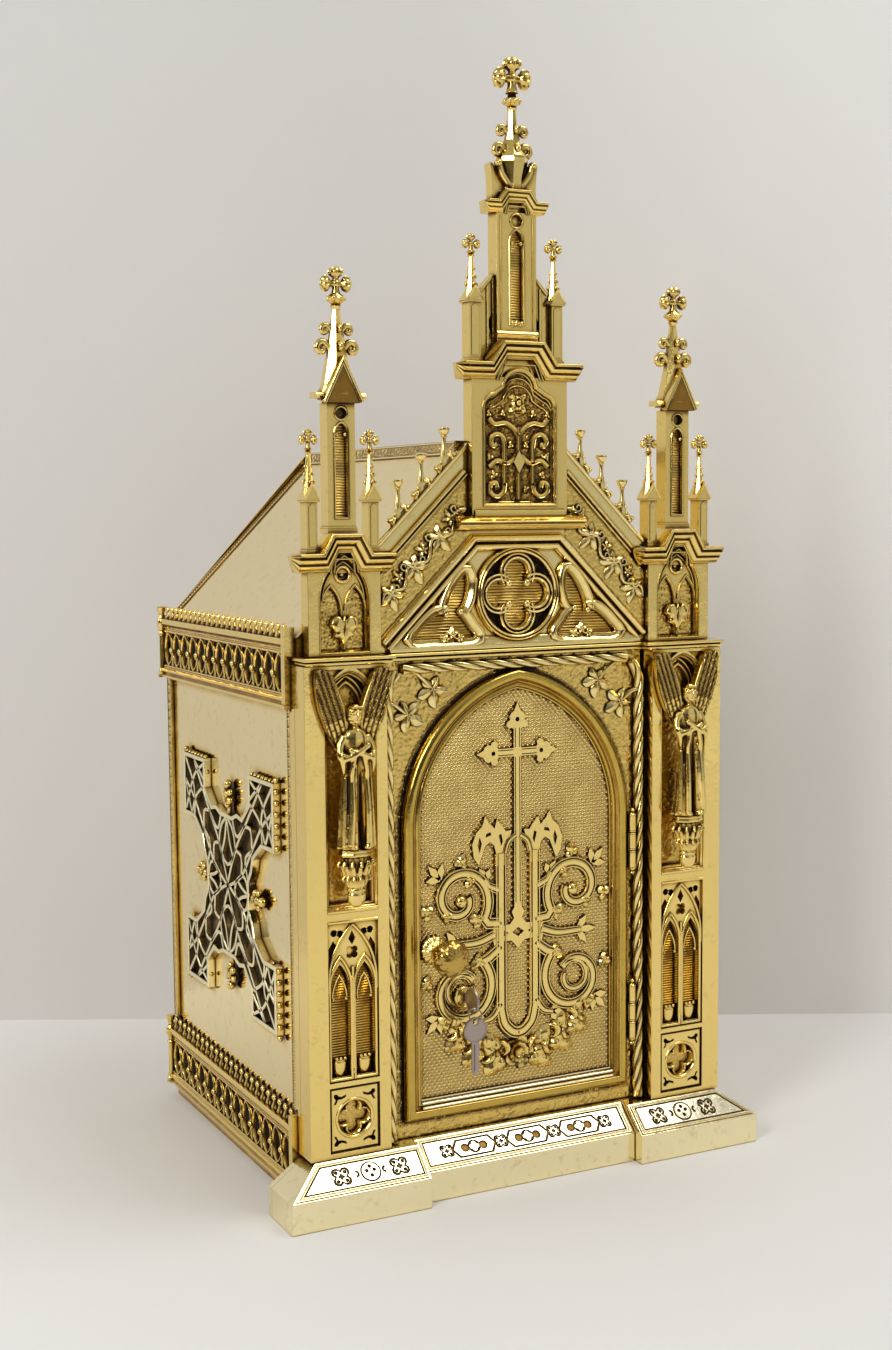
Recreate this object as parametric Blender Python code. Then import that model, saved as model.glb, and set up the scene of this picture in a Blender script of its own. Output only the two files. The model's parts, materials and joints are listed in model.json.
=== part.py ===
"""Gothic brass altar tabernacle.

A hollow case of brass sheet stands behind a cast front: two piers with angels in niches, an arched door
between them, a gable with a rose, a crowning tower and two turrets.  The door turns on two hinges.

All sizes are in millimetres in the maker's frame: X to the viewer's right, Y into the case with Y = 0
on the front faces of the piers, Z up from the ground.  place() turns them into metres and moves the
origin to the middle of the footprint.
"""
import math

import bpy
import bmesh
from mathutils import Vector
from mathutils.geometry import delaunay_2d_cdt

MM = 0.001
GAP = 0.3                       # clearance between pieces that touch

# ---- driving dimensions ------------------------------------------------------------------------
KNOB_TIP = -30.0                # the door knob reaches furthest forward
REAR = 346.0                    # back edge of the galleries
ORIGIN_Y = (KNOB_TIP + REAR) / 2

PLINTH_FRONT = -23.0            # front of the two plinth blocks
PLINTH_HALF = 218.5
PLINTH_BLOCK_IN = 99.0
PLINTH_CENTRE_FRONT = -12.5
PLINTH_RISE = 24.4              # plain upright face of the plinth
PLINTH_TOP = 45.5               # top of its weathering, where the piers stand
PLINTH_REAR = 26.0

PIER_OUT = 190.0
PIER_IN = 121.7
PIER_MID = (PIER_OUT + PIER_IN) / 2
PIER_DEPTH = 20.0
PANEL_HALF = 19.3               # half width of the sunk panels in a pier
LEDGE_Z = (434.8, 441.0)
BAY_FACE = 17.0                 # stippled ground round the door
PLATE_BACK = 21.0

SHEET = 3.0                     # thickness of the case's brass sheet
WALL_X = 189.0                  # outer face of the side sheets
WALL_REAR = 341.0
EAVE_Z = 455.0
RIDGE_HALF = 50.0
RIDGE_Z = 608.0
RIDGE_BAND = 11.0               # height of the knurled band round the flat ridge

DOOR_HALF = 105.5
DOOR_FOOT = 60.0
DOOR_SPRING = 298.0
DOOR_APEX = 424.0
DOOR_FRAME = 16.5               # width of the moulding round the door
DOOR_FACE = 17.5                # knurled ground of the door
HINGE_X = 109.4
HINGE_Y = 9.0
HINGE_SPANS = ((247.5, 295.0), (99.0, 147.0))

GALLERY_X = 197.0
GALLERY_SPANS = {"upper": (400.0, 454.5), "lower": (12.0, 66.0)}
CREST = 11.5                    # height of the knobs along a gallery

GABLE_FACE = 14.0
GABLE_HALF = 123.8
ROSE = (0.0, 485.0, 38.0)       # centre x, centre z, outer radius

TOWER_FACE = 6.5
TOWER_HALF = 43.8
TOWER_FOOT = 548.0
TOWER_TOP = 656.0
TOWER_BACK = 21.0
SPIRE_AXIS_Y = 18.0

TURRET_X = 154.6
TURRET_FACE = 8.0
TURRET_BACK = 22.0

COLOURS = {
    "brass_polished": ((0.80, 0.60, 0.28), 0.18, 1.0),
    "brass_antique": ((0.62, 0.45, 0.19), 0.34, 1.0),
    "steel": ((0.50, 0.48, 0.46), 0.35, 1.0),
}


# ---- outlines in the X-Z plane ------------------------------------------------------------------
def arc(cx, cz, r, start, end, steps):
    """Points along a circle, angles in degrees, both ends included."""
    turn = [math.radians(start + (end - start) * i / steps) for i in range(steps + 1)]
    return [(cx + r * math.cos(a), cz + r * math.sin(a)) for a in turn]


def circle(cx, cz, r, steps):
    return arc(cx, cz, r, 0, 360, steps)[:-1]


def rect(x0, x1, z0, z1):
    return [(x0, z0), (x1, z0), (x1, z1), (x0, z1)]


def arch_head(cx, half, spring, apex, steps):
    """A pointed arch from its right springing over the apex to its left one."""
    rise = apex - spring
    radius = (half * half + rise * rise) / (2 * half)
    top = math.degrees(math.asin(min(1.0, rise / radius)))
    right = arc(cx + half - radius, spring, radius, 0, top, steps)
    right[-1] = (cx, apex)
    left = [(2 * cx - x, z) for x, z in reversed(right[:-1])]
    return right + left


def lancet(cx, half, foot, spring, apex, steps=4):
    return [(cx - half, foot), (cx + half, foot)] + arch_head(cx, half, spring, apex, steps)


def foils(cx, cz, reach, r, count, steps, turn=0.0):
    """Outline of overlapping circles set round a centre, such as a quatrefoil."""
    half = math.pi / count
    cusp = reach * math.cos(half) + math.sqrt(r * r - (reach * math.sin(half)) ** 2)
    spread = math.degrees(math.atan2(cusp * math.sin(half), cusp * math.cos(half) - reach))
    points = []
    for k in range(count):
        a = turn + 2 * math.pi * k / count
        mid = (cx + reach * math.cos(a), cz + reach * math.sin(a))
        points += arc(*mid, r, math.degrees(a) - spread, math.degrees(a) + spread, steps)[:-1]
    return points


def mirror(outline, about=0.0):
    return [(2 * about - x, z) for x, z in reversed(outline)]


def ribbon(path, width, taper=1.0):
    """Outline of a strap of the given width along a path; taper scales the width at its end."""
    left, right = [], []
    last = len(path) - 1
    for i, (x, z) in enumerate(path):
        ax, az = path[max(i - 1, 0)]
        bx, bz = path[min(i + 1, last)]
        length = math.hypot(bx - ax, bz - az)
        nx, nz = (az - bz) / length, (bx - ax) / length
        w = width / 2 * (1 + (taper - 1) * i / last)
        left.append((x + nx * w, z + nz * w))
        right.append((x - nx * w, z - nz * w))
    return right + left[::-1]


def volute(cx, cz, r0, r1, start, end, steps):
    """A spiral about a centre, its radius running from r0 to r1."""
    points = []
    for i in range(steps + 1):
        t = i / steps
        a = math.radians(start + (end - start) * t)
        r = r0 + (r1 - r0) * t
        points.append((cx + r * math.cos(a), cz + r * math.sin(a)))
    return points


def leaf(cx, cz, size, turn, lobes=5, depth=0.42):
    """A lobed leaf such as ivy, as a star with rounded-off lobes."""
    points = []
    for k in range(2 * lobes):
        a = math.radians(turn + 180 * k / lobes)
        r = size * (1 - depth * (k % 2))
        points.append((cx + r * math.cos(a), cz + r * math.sin(a)))
    return points


# ---- solids: (vertices, faces) in millimetres ------------------------------------------------------
def prism(outline, y0, y1):
    """An X-Z outline run from y0 to y1."""
    n = len(outline)
    verts = [(x, y0, z) for x, z in outline] + [(x, y1, z) for x, z in outline]
    faces = [list(range(n)), list(range(2 * n - 1, n - 1, -1))]
    faces += [[i, (i + 1) % n, n + (i + 1) % n, n + i] for i in range(n)]
    return verts, faces


def block(x0, x1, y0, y1, z0, z1):
    return prism(rect(x0, x1, z0, z1), y0, y1)


def loft(rings):
    """Closed rings of equal length joined in order, with a cap at each end."""
    n = len(rings[0])
    verts = [p for ring in rings for p in ring]
    faces = [list(range(n))[::-1], [len(verts) - n + i for i in range(n)]]
    for k in range(len(rings) - 1):
        for i in range(n):
            j = (i + 1) % n
            faces.append([k * n + i, k * n + j, (k + 1) * n + j, (k + 1) * n + i])
    return verts, faces


def turned(x, y, profile, sides, start=0.0, flat=1.0):
    """A lathe shape about a vertical axis from (radius, z) pairs; flat squeezes it along Y."""
    rings = []
    for r, z in profile:
        turn = [math.radians(start + 360 * k / sides) for k in range(sides)]
        rings.append([(x + r * math.cos(a), y + r * flat * math.sin(a), z) for a in turn])
    return loft(rings)


def turned_out(x, z, profile, sides):
    """A lathe shape about an axis along Y from (radius, y) pairs."""
    rings = []
    for r, y in profile:
        turn = [2 * math.pi * k / sides for k in range(sides)]
        rings.append([(x + r * math.cos(a), y, z + r * math.sin(a)) for a in turn])
    return loft(rings)


def bar(path, half_x, half_y, taper=1.0):
    """A square bar along points in space, for a stem, limb or pin."""
    rings = []
    last = len(path) - 1
    for i, point in enumerate(path):
        along = Vector(path[min(i + 1, last)]) - Vector(path[max(i - 1, 0)])
        along.normalize()
        side = along.cross(Vector((0, 1, 0)))
        side = side.normalized() if side.length > 0.05 else Vector((1, 0, 0))
        out = side.cross(along)
        k = 1 + (taper - 1) * i / last
        corners = ((1, 1), (-1, 1), (-1, -1), (1, -1))
        rings.append([tuple(Vector(point) + side * half_x * k * a + out * half_y * k * b)
                      for a, b in corners])
    return loft(rings)


def relief(layers, back):
    """A plate with a flat back and a terraced front.

    layers lists (outline, y) from the lowest to the one laid on last; y is the depth of that terrace,
    and None cuts right through.  Every outline is planned so that no two meet in a single point.
    """
    points, loops = [], []
    for outline, _ in layers:
        loop = list(range(len(points), len(points) + len(outline)))
        area = sum(a[0] * b[1] - b[0] * a[1] for a, b in zip(outline, outline[1:] + outline[:1]))
        loops.append(loop if area > 0 else loop[::-1])
        points += [Vector(p) for p in outline]
    flat, _, tris, _, _, owners = delaunay_2d_cdt(points, [], loops, 1, 1e-6)
    level = {}
    for k, tri in enumerate(tris):
        y = layers[max(owners[k])][1] if owners[k] else None
        if y is not None:
            level[k] = y
    at_vertex, beside = {}, {}
    for k, y in level.items():
        tri = tris[k]
        for i, v in enumerate(tri):
            at_vertex.setdefault(v, set()).add(y)
            w = tri[(i + 1) % 3]
            beside.setdefault((min(v, w), max(v, w)), []).append((k, v, w))
    for (v, w), uses in beside.items():
        if len(uses) == 1:
            at_vertex[v].add(back)
            at_vertex[w].add(back)
    verts, index = [], {}

    def vertex(v, y):
        if (v, y) not in index:
            index[v, y] = len(verts)
            verts.append((flat[v][0], y, flat[v][1]))
        return index[v, y]

    def climb(v, y0, y1):
        """Vertices on the upright edge at v from y0 to y1."""
        steps = sorted((y for y in at_vertex[v] if min(y0, y1) <= y <= max(y0, y1)), reverse=y0 > y1)
        return [vertex(v, y) for y in steps]

    faces = [[vertex(v, y) for v in tris[k]] for k, y in level.items()]
    rim = []
    for uses in beside.values():
        k, v, w = uses[0]
        near = level[k]
        far = back if len(uses) == 1 else level[uses[1][0]]
        if near != far:
            faces.append(climb(w, near, far) + climb(v, far, near))
        if len(uses) == 1:
            rim.append((v, w))
    used = sorted({v for pair in rim for v in pair})
    place_of = {v: i for i, v in enumerate(used)}
    edges = [(place_of[v], place_of[w]) for v, w in rim]
    corners = [flat[v] for v in used]

    def inside(tri):
        x, z = sum((corners[v] for v in tri), Vector((0.0, 0.0))) / 3
        hits = 0
        for a, b in ((flat[v], flat[w]) for v, w in rim):
            if (a.y > z) != (b.y > z) and x < a.x + (z - a.y) * (b.x - a.x) / (b.y - a.y):
                hits += 1
        return hits % 2 == 1

    rear = delaunay_2d_cdt(corners, edges, [], 1, 1e-6)
    faces += [[vertex(used[v], back) for v in reversed(tri)] for tri in rear[2] if inside(tri)]
    return verts, faces


def flipped(solid):
    """The mirror image about X = 0."""
    return [(-x, y, z) for x, y, z in solid[0]], [face[::-1] for face in solid[1]]


def tipped(solid, foot, slope):
    """Lays a relief made about z = 0 onto a slope that rises backwards from foot = (y, z)."""
    s, c = math.sin(slope), math.cos(slope)
    verts = [(x, foot[0] + z * c + y * s, foot[1] + z * s - y * c) for x, y, z in solid[0]]
    return verts, solid[1]


# ---- objects -------------------------------------------------------------------------------------
def finish_material(name):
    material = bpy.data.materials.get(name)
    if material is None:
        colour, roughness, metallic = COLOURS[name]
        material = bpy.data.materials.new(name)
        material.use_nodes = True
        shader = material.node_tree.nodes["Principled BSDF"]
        shader.inputs["Base Color"].default_value = (*colour, 1.0)
        shader.inputs["Roughness"].default_value = roughness
        shader.inputs["Metallic"].default_value = metallic
        material.diffuse_color = (*colour, 1.0)
    return material


def mesh_of(name, solid, origin):
    mesh = bpy.data.meshes.new(name)
    ox, oy, oz = origin
    mesh.from_pydata([((x - ox) * MM, (y - oy) * MM, (z - oz) * MM) for x, y, z in solid[0]],
                     [], solid[1])
    form = bmesh.new()
    form.from_mesh(mesh)
    bmesh.ops.remove_doubles(form, verts=form.verts, dist=1e-7)
    bmesh.ops.recalc_face_normals(form, faces=form.faces)
    form.to_mesh(mesh)
    form.free()
    return mesh


def united(name, solids, origin):
    """One mesh from one or more overlapping solids."""
    piece = bpy.data.objects.new(name, mesh_of(name, solids[0], origin))
    bpy.context.collection.objects.link(piece)
    for k, solid in enumerate(solids[1:]):
        tool = bpy.data.objects.new(f"{name}_with_{k}", mesh_of(f"{name}_with_{k}", solid, origin))
        bpy.context.collection.objects.link(tool)
        union = piece.modifiers.new("union", "BOOLEAN")
        union.operation = "UNION"
        union.object = tool
        bpy.context.view_layer.update()
        shape = bpy.data.meshes.new_from_object(piece.evaluated_get(bpy.context.evaluated_depsgraph_get()))
        piece.modifiers.clear()
        piece.data = shape
        bpy.data.objects.remove(tool)
    mesh = piece.data
    bpy.data.objects.remove(piece)
    return mesh


def show(name, mesh, finish, parent=None, origin=(0.0, 0.0, 0.0)):
    """Puts a mesh into the model as a named object with its own material."""
    piece = bpy.data.objects.new(name, mesh)
    bpy.context.collection.objects.link(piece)
    mesh.materials.clear()
    mesh.materials.append(finish_material(finish))
    ox, oy, oz = origin
    piece.location = (ox * MM, (oy - ORIGIN_Y) * MM, oz * MM)
    if parent:
        piece.parent = parent
        piece.matrix_parent_inverse = parent.matrix_world.inverted()


def place(name, solids, finish="brass_antique", parent=None, origin=(0.0, 0.0, 0.0)):
    """One named object from one or more overlapping solids, which are united into one body."""
    solids = solids if isinstance(solids, list) else [solids]
    show(name, united(name, solids, origin), finish, parent, origin)


def both_sides(name, solids, finish="brass_antique"):
    """The same piece on the right of the front and, mirrored, on its left."""
    solids = solids if isinstance(solids, list) else [solids]
    right = united(name, solids, (0.0, 0.0, 0.0))
    left = right.copy()
    for vertex in left.vertices:
        vertex.co.x = -vertex.co.x
    left.flip_normals()
    show(f"{name}_right", right, finish)
    show(f"{name}_left", left, finish)


# ---- plinth ---------------------------------------------------------------------------------------
WEATHER_RUN = -PLINTH_FRONT
WEATHER_RISE = PLINTH_TOP - GAP - PLINTH_RISE
WEATHER_SLOPE = math.atan2(WEATHER_RISE, WEATHER_RUN)
WEATHER_LENGTH = math.hypot(WEATHER_RISE, WEATHER_RUN)


def plinth_body(x0, x1, front, rear, hip):
    """Upright base with a weathered top; hip is how far the top draws in at x1."""
    levels = ((0.0, 0.0, 0.0), (PLINTH_RISE, 0.0, 0.0), (PLINTH_TOP - GAP, WEATHER_RUN, hip))
    return loft([[(x0, front + back, z), (x1 - side, front + back, z), (x1 - side, rear, z), (x0, rear, z)]
                 for z, back, side in levels])


def weathering_panel(x0, x1, hip, ornaments):
    """Framed relief for a weathered top: sunk field with a row of raised ornaments."""
    lean = hip / WEATHER_LENGTH

    def frame(inset, depth):
        top = WEATHER_LENGTH - inset
        return [(x0 + inset, inset), (x1 - inset * 1.4 - inset * lean, inset),
                (x1 - inset * 1.4 - top * lean, top), (x0 + inset, top)], depth

    return relief([frame(3.0, -1.2), frame(5.6, -0.3)] + ornaments, 4.0)


def plinth():
    mid = WEATHER_LENGTH / 2
    hip = PLINTH_HALF - PIER_OUT
    row = (PLINTH_BLOCK_IN + PIER_OUT) / 2 + 3
    side = [(foils(row, mid, 4.6, 4.0, 4, 2), -1.3)]
    for step in (-1, 1):
        side += [(arc(row + step * 22, mid, 7.5, 90 - step * 30, 90 + step * 210, 4)
                  + arc(row + step * 22, mid, 4.0, 90 + step * 210, 90 - step * 30, 3), -1.3)]
    side_panel = tipped(weathering_panel(PLINTH_BLOCK_IN, PLINTH_HALF, hip, side),
                        (PLINTH_FRONT, PLINTH_RISE), WEATHER_SLOPE)
    body = plinth_body(PLINTH_BLOCK_IN, PLINTH_HALF, PLINTH_FRONT, PIER_DEPTH - GAP, hip)
    spur = loft([[(PIER_OUT + GAP, 0.0, z), (PLINTH_HALF - back, 0.0, z),
                  (PLINTH_HALF - back, PLINTH_REAR, z), (PIER_OUT + GAP, PLINTH_REAR, z)]
                 for z, back in ((0.0, 0.0), (PLINTH_RISE, 0.0), (PLINTH_TOP - 1.5, hip - 1.5))])
    both_sides("plinth", [body, spur, side_panel])

    centre = []
    for k in (-1, 0, 1):
        lozenge = [(14.0, 0.0), (0.0, 8.5), (-14.0, 0.0), (0.0, -8.5)]
        centre.append(([(k * 50.0 + dx, mid + dz) for dx, dz in lozenge], -1.3))
    for k in (-1.5, -0.5, 0.5, 1.5):
        centre.append((rect(k * 50 - 6, k * 50 + 6, mid - 6, mid + 6), -1.3))
    half = PLINTH_BLOCK_IN - GAP
    panel = tipped(weathering_panel(-half, half, 0.0, centre),
                   (PLINTH_CENTRE_FRONT, PLINTH_RISE), WEATHER_SLOPE)
    place("plinth_centre", [plinth_body(-half, half, PLINTH_CENTRE_FRONT, PIER_DEPTH - GAP, 0.0), panel])


# ---- the case ------------------------------------------------------------------------------------
def sideways(solid):
    """Turns a plate drawn in X-Z so that X runs into the case and its front faces +X."""
    return [(-y, x, z) for x, y, z in solid[0]], solid[1]


def case():
    wall_front = PIER_DEPTH + GAP
    wall_end = WALL_REAR - SHEET - GAP
    side_outline = [(PLINTH_REAR + GAP, 0.0), (wall_end, 0.0), (wall_end, EAVE_Z), (wall_front, EAVE_Z),
                    (wall_front, PLINTH_TOP + GAP), (PLINTH_REAR + GAP, PLINTH_TOP + GAP)]
    both_sides("side_sheet", sideways(prism(side_outline, -WALL_X, -WALL_X + SHEET)), "brass_polished")

    inner = WALL_X - SHEET - GAP
    place("floor_sheet", block(-inner, inner, PIER_DEPTH + 1, WALL_REAR - SHEET - GAP, 4.0, 4.0 + SHEET),
          "brass_polished")
    back = [(-WALL_X, 0.0), (WALL_X, 0.0), (WALL_X, EAVE_Z), (RIDGE_HALF, RIDGE_Z - SHEET),
            (-RIDGE_HALF, RIDGE_Z - SHEET), (-WALL_X, EAVE_Z)]
    place("back_sheet", prism(back, WALL_REAR - SHEET, WALL_REAR), "brass_polished")

    # A roof slope runs from its eave to the foot of the band that edges the flat ridge.
    foot = (WALL_X, EAVE_Z + GAP)
    head = (RIDGE_HALF + GAP, RIDGE_Z - RIDGE_BAND)
    slope = [foot, head, (head[0], head[1] - 4.2), (foot[0] - 4.0, foot[1])]
    rear = WALL_REAR - SHEET - GAP
    both_sides("roof_slope", prism(slope, TOWER_BACK + 1.5, rear), "brass_polished")
    deck = [(-RIDGE_HALF, RIDGE_Z - RIDGE_BAND - 3), (-RIDGE_HALF + 3, RIDGE_Z - RIDGE_BAND - 3),
            (-RIDGE_HALF + 3, RIDGE_Z - SHEET), (RIDGE_HALF - 3, RIDGE_Z - SHEET),
            (RIDGE_HALF - 3, RIDGE_Z - RIDGE_BAND - 3), (RIDGE_HALF, RIDGE_Z - RIDGE_BAND - 3),
            (RIDGE_HALF, RIDGE_Z), (-RIDGE_HALF, RIDGE_Z)]
    place("roof_ridge", prism(deck, TOWER_BACK + 1.5, rear), "brass_polished")

    doorway = lancet(0.0, DOOR_HALF - 8.5, DOOR_FOOT + 8.5, DOOR_SPRING, DOOR_APEX - 11.0, 6)
    bay = PIER_IN - GAP
    place("front_plate", relief([(rect(-bay, bay, PLINTH_TOP + GAP, LEDGE_Z[0] - GAP), BAY_FACE),
                                 (doorway, None)], PLATE_BACK))


# ---- piers and angels ------------------------------------------------------------------------------
def pier():
    mid, half = PIER_MID, PANEL_HALF
    layers = [(rect(PIER_IN, PIER_OUT, PLINTH_TOP + GAP, LEDGE_Z[0] - GAP), 0.0),
              (lancet(mid, half, 244.3, 406.0, 431.5, 3), 4.0),
              (lancet(mid, half - 3.6, 247.5, 404.0, 425.5, 3), 11.0),
              (rect(mid - half, mid + half, 106.4, 232.8), 2.5)]
    for step in (-1, 1):
        layers.append((lancet(mid + step * 9.0, 6.8, 109.0, 186.0, 203.0, 2), 8.0))
    layers.append((foils(mid, 213.0, 3.2, 3.6, 3, 2, math.pi / 2), 8.0))
    layers.append((rect(mid - half, mid + half, 49.8, 101.9), 2.5))
    layers.append((circle(mid, 75.8, 17.2, 10), 1.0))
    layers.append((foils(mid, 75.8, 7.0, 6.0, 4, 2), 8.0))
    for sx in (-1, 1):
        for sz in (-1, 1):
            corner = (mid + sx * 16.8, 75.8 + sz * 22.5)
            layers.append(([corner, (corner[0], corner[1] - sz * 8), (corner[0] - sx * 8, corner[1])], 7.0))
    both_sides("pier", relief(layers, PIER_DEPTH))


def wing(step):
    """One feathered wing, raised from the shoulder, its tips stepped like feathers."""
    edge = [(5.0, 372.0), (12.0, 400.0), (18.5, 418.0), (25.5, 431.0)]
    tips = [(26.0, 417.0), (21.5, 409.0), (22.0, 395.0), (17.5, 386.0), (17.5, 370.0), (11.0, 350.0)]
    tips.append((6.0, 346.0))
    outline = [(PIER_MID + step * x, z) for x, z in edge + tips]
    return prism(outline, -4.6, -1.4)


def angel():
    """A standing robed angel with crossed arms on a foliate corbel."""
    x0, y0 = PIER_MID, -4.0

    def ring(z, rx, ry, fold, dx=0.0, dy=0.0, sides=8):
        points = []
        for k in range(sides):
            a = 2 * math.pi * k / sides
            r = 1 - fold * (k % 2)
            points.append((x0 + dx + rx * r * math.cos(a), y0 + dy + ry * r * math.sin(a), z))
        return points

    robe = loft([ring(292.0, 12.5, 8.5, 0.2), ring(320.0, 10.0, 7.6, 0.2), ring(352.0, 8.6, 7.0, 0.1),
                 ring(379.0, 10.8, 6.4, 0.0), ring(389.0, 4.2, 4.0, 0.0)])
    head = turned(x0, y0 - 1.5, [(2.6, 386.0), (6.4, 393.0), (6.4, 401.0), (3.0, 407.0)], 6, 30.0)
    arms = [bar([(x0 + s * 9.4, y0 - 0.6, 379.0), (x0 + s * 11.4, y0 - 4.4, 365.0),
                 (x0 - s * 5.5, y0 - 8.8 - s * 0.4, 370.0 + s)], 3.1, 3.1, 0.62) for s in (-1, 1)]
    corbel = turned(x0, y0 + 1.0, [(3.0, 246.5), (8.0, 251.0), (6.8, 260.0), (12.6, 271.0), (15.4, 284.0),
                                   (14.0, 292.5)], 6, 30.0, 0.78)
    both_sides("angel", [robe, head, corbel] + arms + [wing(-1), wing(1)])


# ---- ledge, rope and leaves --------------------------------------------------------------------------
def string_ledge():
    def plan(out):
        side, step = PIER_OUT + 1.6 + out, PIER_IN - 3.0 - out
        front, bay = -1.0 - out, 9.5 - out
        return [(-side, PIER_DEPTH), (-side, front), (-step, front), (-step, bay), (step, bay),
                (step, front), (side, front), (side, PIER_DEPTH)]

    low, high = LEDGE_Z
    levels = ((low + GAP, 0.0), (low + 2.6, 0.3), (low + 3.2, 2.2), (high - GAP, 2.2))
    place("string_ledge", loft([[(x, y, z) for x, y in plan(out)] for z, out in levels]))


ROPE_X = 117.3
ROPE_Y = 12.3
ROPE_TOP_Z = 428.2
ROPE_R = 4.2
ROPE_PITCH = 22.0               # length of a third of a strand's turn


def rope(points):
    """A twisted three-sided bar along a straight run from one point to the other."""
    a, b = Vector(points[0]), Vector(points[1])
    along = (b - a).normalized()
    out = Vector((0, -1, 0))
    side = along.cross(out)
    count = round((b - a).length / ROPE_PITCH)
    rings = []
    for i in range(count + 1):
        centre = a + (b - a) * i / count
        turns = [math.radians(60 * i + 120 * q) for q in range(3)]
        rings.append([tuple(centre + (side * math.cos(t) + out * math.sin(t)) * ROPE_R) for t in turns])
    verts, faces = loft(rings)
    folds = [part for a, b, c, d in faces[2:] for part in ([a, b, d], [d, b, c])]
    return verts, faces[:2] + folds


def ivy_sprig(x, z, turn, root):
    """An ivy leaf whose stalk leaves the rope at root."""
    stalk = [(root[0], ROPE_Y, root[1]), ((root[0] + x) / 2 + 3, 12.9, (root[1] + z) / 2 + 4), (x, 13.6, z)]
    return [prism(leaf(x, z, 12.5, turn), 11.5, 15.8), bar(stalk, 2.2, 2.0, 0.8)]


def rope_and_leaves():
    """The rope round the door, and the ivy sprigs that it sends out at the upper corners."""
    upright = rope([(ROPE_X, ROPE_Y, PLINTH_TOP + 1.0), (ROPE_X, ROPE_Y, 404.0)])
    both_sides("rope_side", [upright] + ivy_sprig(97.3, 390.8, 215, (ROPE_X - 0.6, 400.4)))
    across = rope([(-104.0, ROPE_Y, ROPE_TOP_Z), (104.0, ROPE_Y, ROPE_TOP_Z)])
    sprig = ivy_sprig(79.0, 409.6, 255, (99.5, ROPE_TOP_Z - 0.4))[::-1]
    place("rope_top", [across] + sprig + [flipped(s) for s in sprig])


# ---- gable and rakes ------------------------------------------------------------------------------------
RAKE_TOP = 650.3                # on a rake, z + |x| along its upper edge
RAKE_FOOT = 624.5               # the same along its lower edge
INNER_RAKE = 575.0              # the same along the outer edge of the lower moulding
CORNICE_Z = (505.8, 520.5)      # turret cornice
CORNICE_HALF = 45.2


def gable():
    low = LEDGE_Z[1] + GAP
    notch_x = TURRET_X - CORNICE_HALF - GAP
    notch_z = CORNICE_Z[0] - GAP
    tower = TOWER_HALF + GAP
    ledge_x, ledge_z = 58.0 + GAP, (537.0 - GAP, TOWER_FOOT + GAP)
    foot = RAKE_FOOT - GAP
    right = [(GABLE_HALF, low), (GABLE_HALF, foot - GABLE_HALF), (foot - notch_z, notch_z),
             (notch_x, notch_z), (notch_x, foot - notch_x), (tower, foot - tower), (tower, ledge_z[1]),
             (ledge_x, ledge_z[1]), (ledge_x, ledge_z[0])]
    outline = right + mirror(right)
    flat = 533.5
    moulding = [(GABLE_HALF, low), (GABLE_HALF, INNER_RAKE - GABLE_HALF), (INNER_RAKE - flat, flat)]
    inner = [(103.5, 451.0), (556.0 - 524.0, 524.0)]
    cx, cz, r = ROSE
    layers = [(outline, GABLE_FACE), (moulding + mirror(moulding), 8.5), (inner + mirror(inner), 15.5),
              (circle(cx, cz, r, 16), 8.8), (circle(cx, cz, r - 5.0, 16), 11.5),
              (foils(cx, cz, 17.5, 13.8, 4, 3), 16.0)]
    for s in (-1, 1):
        layers.append(([(s * 72.0, 477.5), (s * 50.0, 502.0), (s * 49.0, 472.0)], 11.0))
        layers.append(([(s * 84.0, 453.5), (s * 44.0, 453.5), (s * 58.0, 466.0)], 11.0))
        for lx, lz, turn in ((70.5, 531.0, 200), (88.0, 511.5, 20), (105.0, 493.5, 200)):
            layers.append((leaf(s * lx, lz, 10.5, turn if s > 0 else 180 - turn, 3, 0.36), 10.0))
    place("gable", relief(layers, PLATE_BACK))


def rake():
    tower = TOWER_HALF + GAP
    end = GABLE_HALF
    shelf = CORNICE_Z[1] + GAP + 0.2
    cut = TURRET_X - CORNICE_HALF - GAP
    plate = [(tower, RAKE_FOOT - tower), (cut, RAKE_FOOT - cut), (cut, shelf), (end, shelf),
             (end, RAKE_TOP - end), (tower, RAKE_TOP - tower)]
    roll = [(tower, RAKE_FOOT - tower), (cut - 1, RAKE_FOOT - cut + 1), (cut - 1, RAKE_FOOT + 8 - cut + 1),
            (tower, RAKE_FOOT + 8 - tower)]
    solids = [relief([(plate, GABLE_FACE + 0.4), (roll, 11.0)], PLATE_BACK)]
    for x in (63.0, 83.5, 104.0):
        z = RAKE_TOP - x
        wave = [(x - 9, z + 4), (x + 7, z - 12), (x + 3.4, z + 2), (x + 2, z + 9), (x - 2, z + 9),
                (x - 4, z + 4.5)]
        pin = [(2.0, z + 6), (1.6, z + 23), (3.8, z + 27.5), (0.9, z + 31.5)]
        solids += [prism(wave, 15.2, 20.2), turned(x, 17.7, pin, 4)]
    both_sides("rake", solids)


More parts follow.
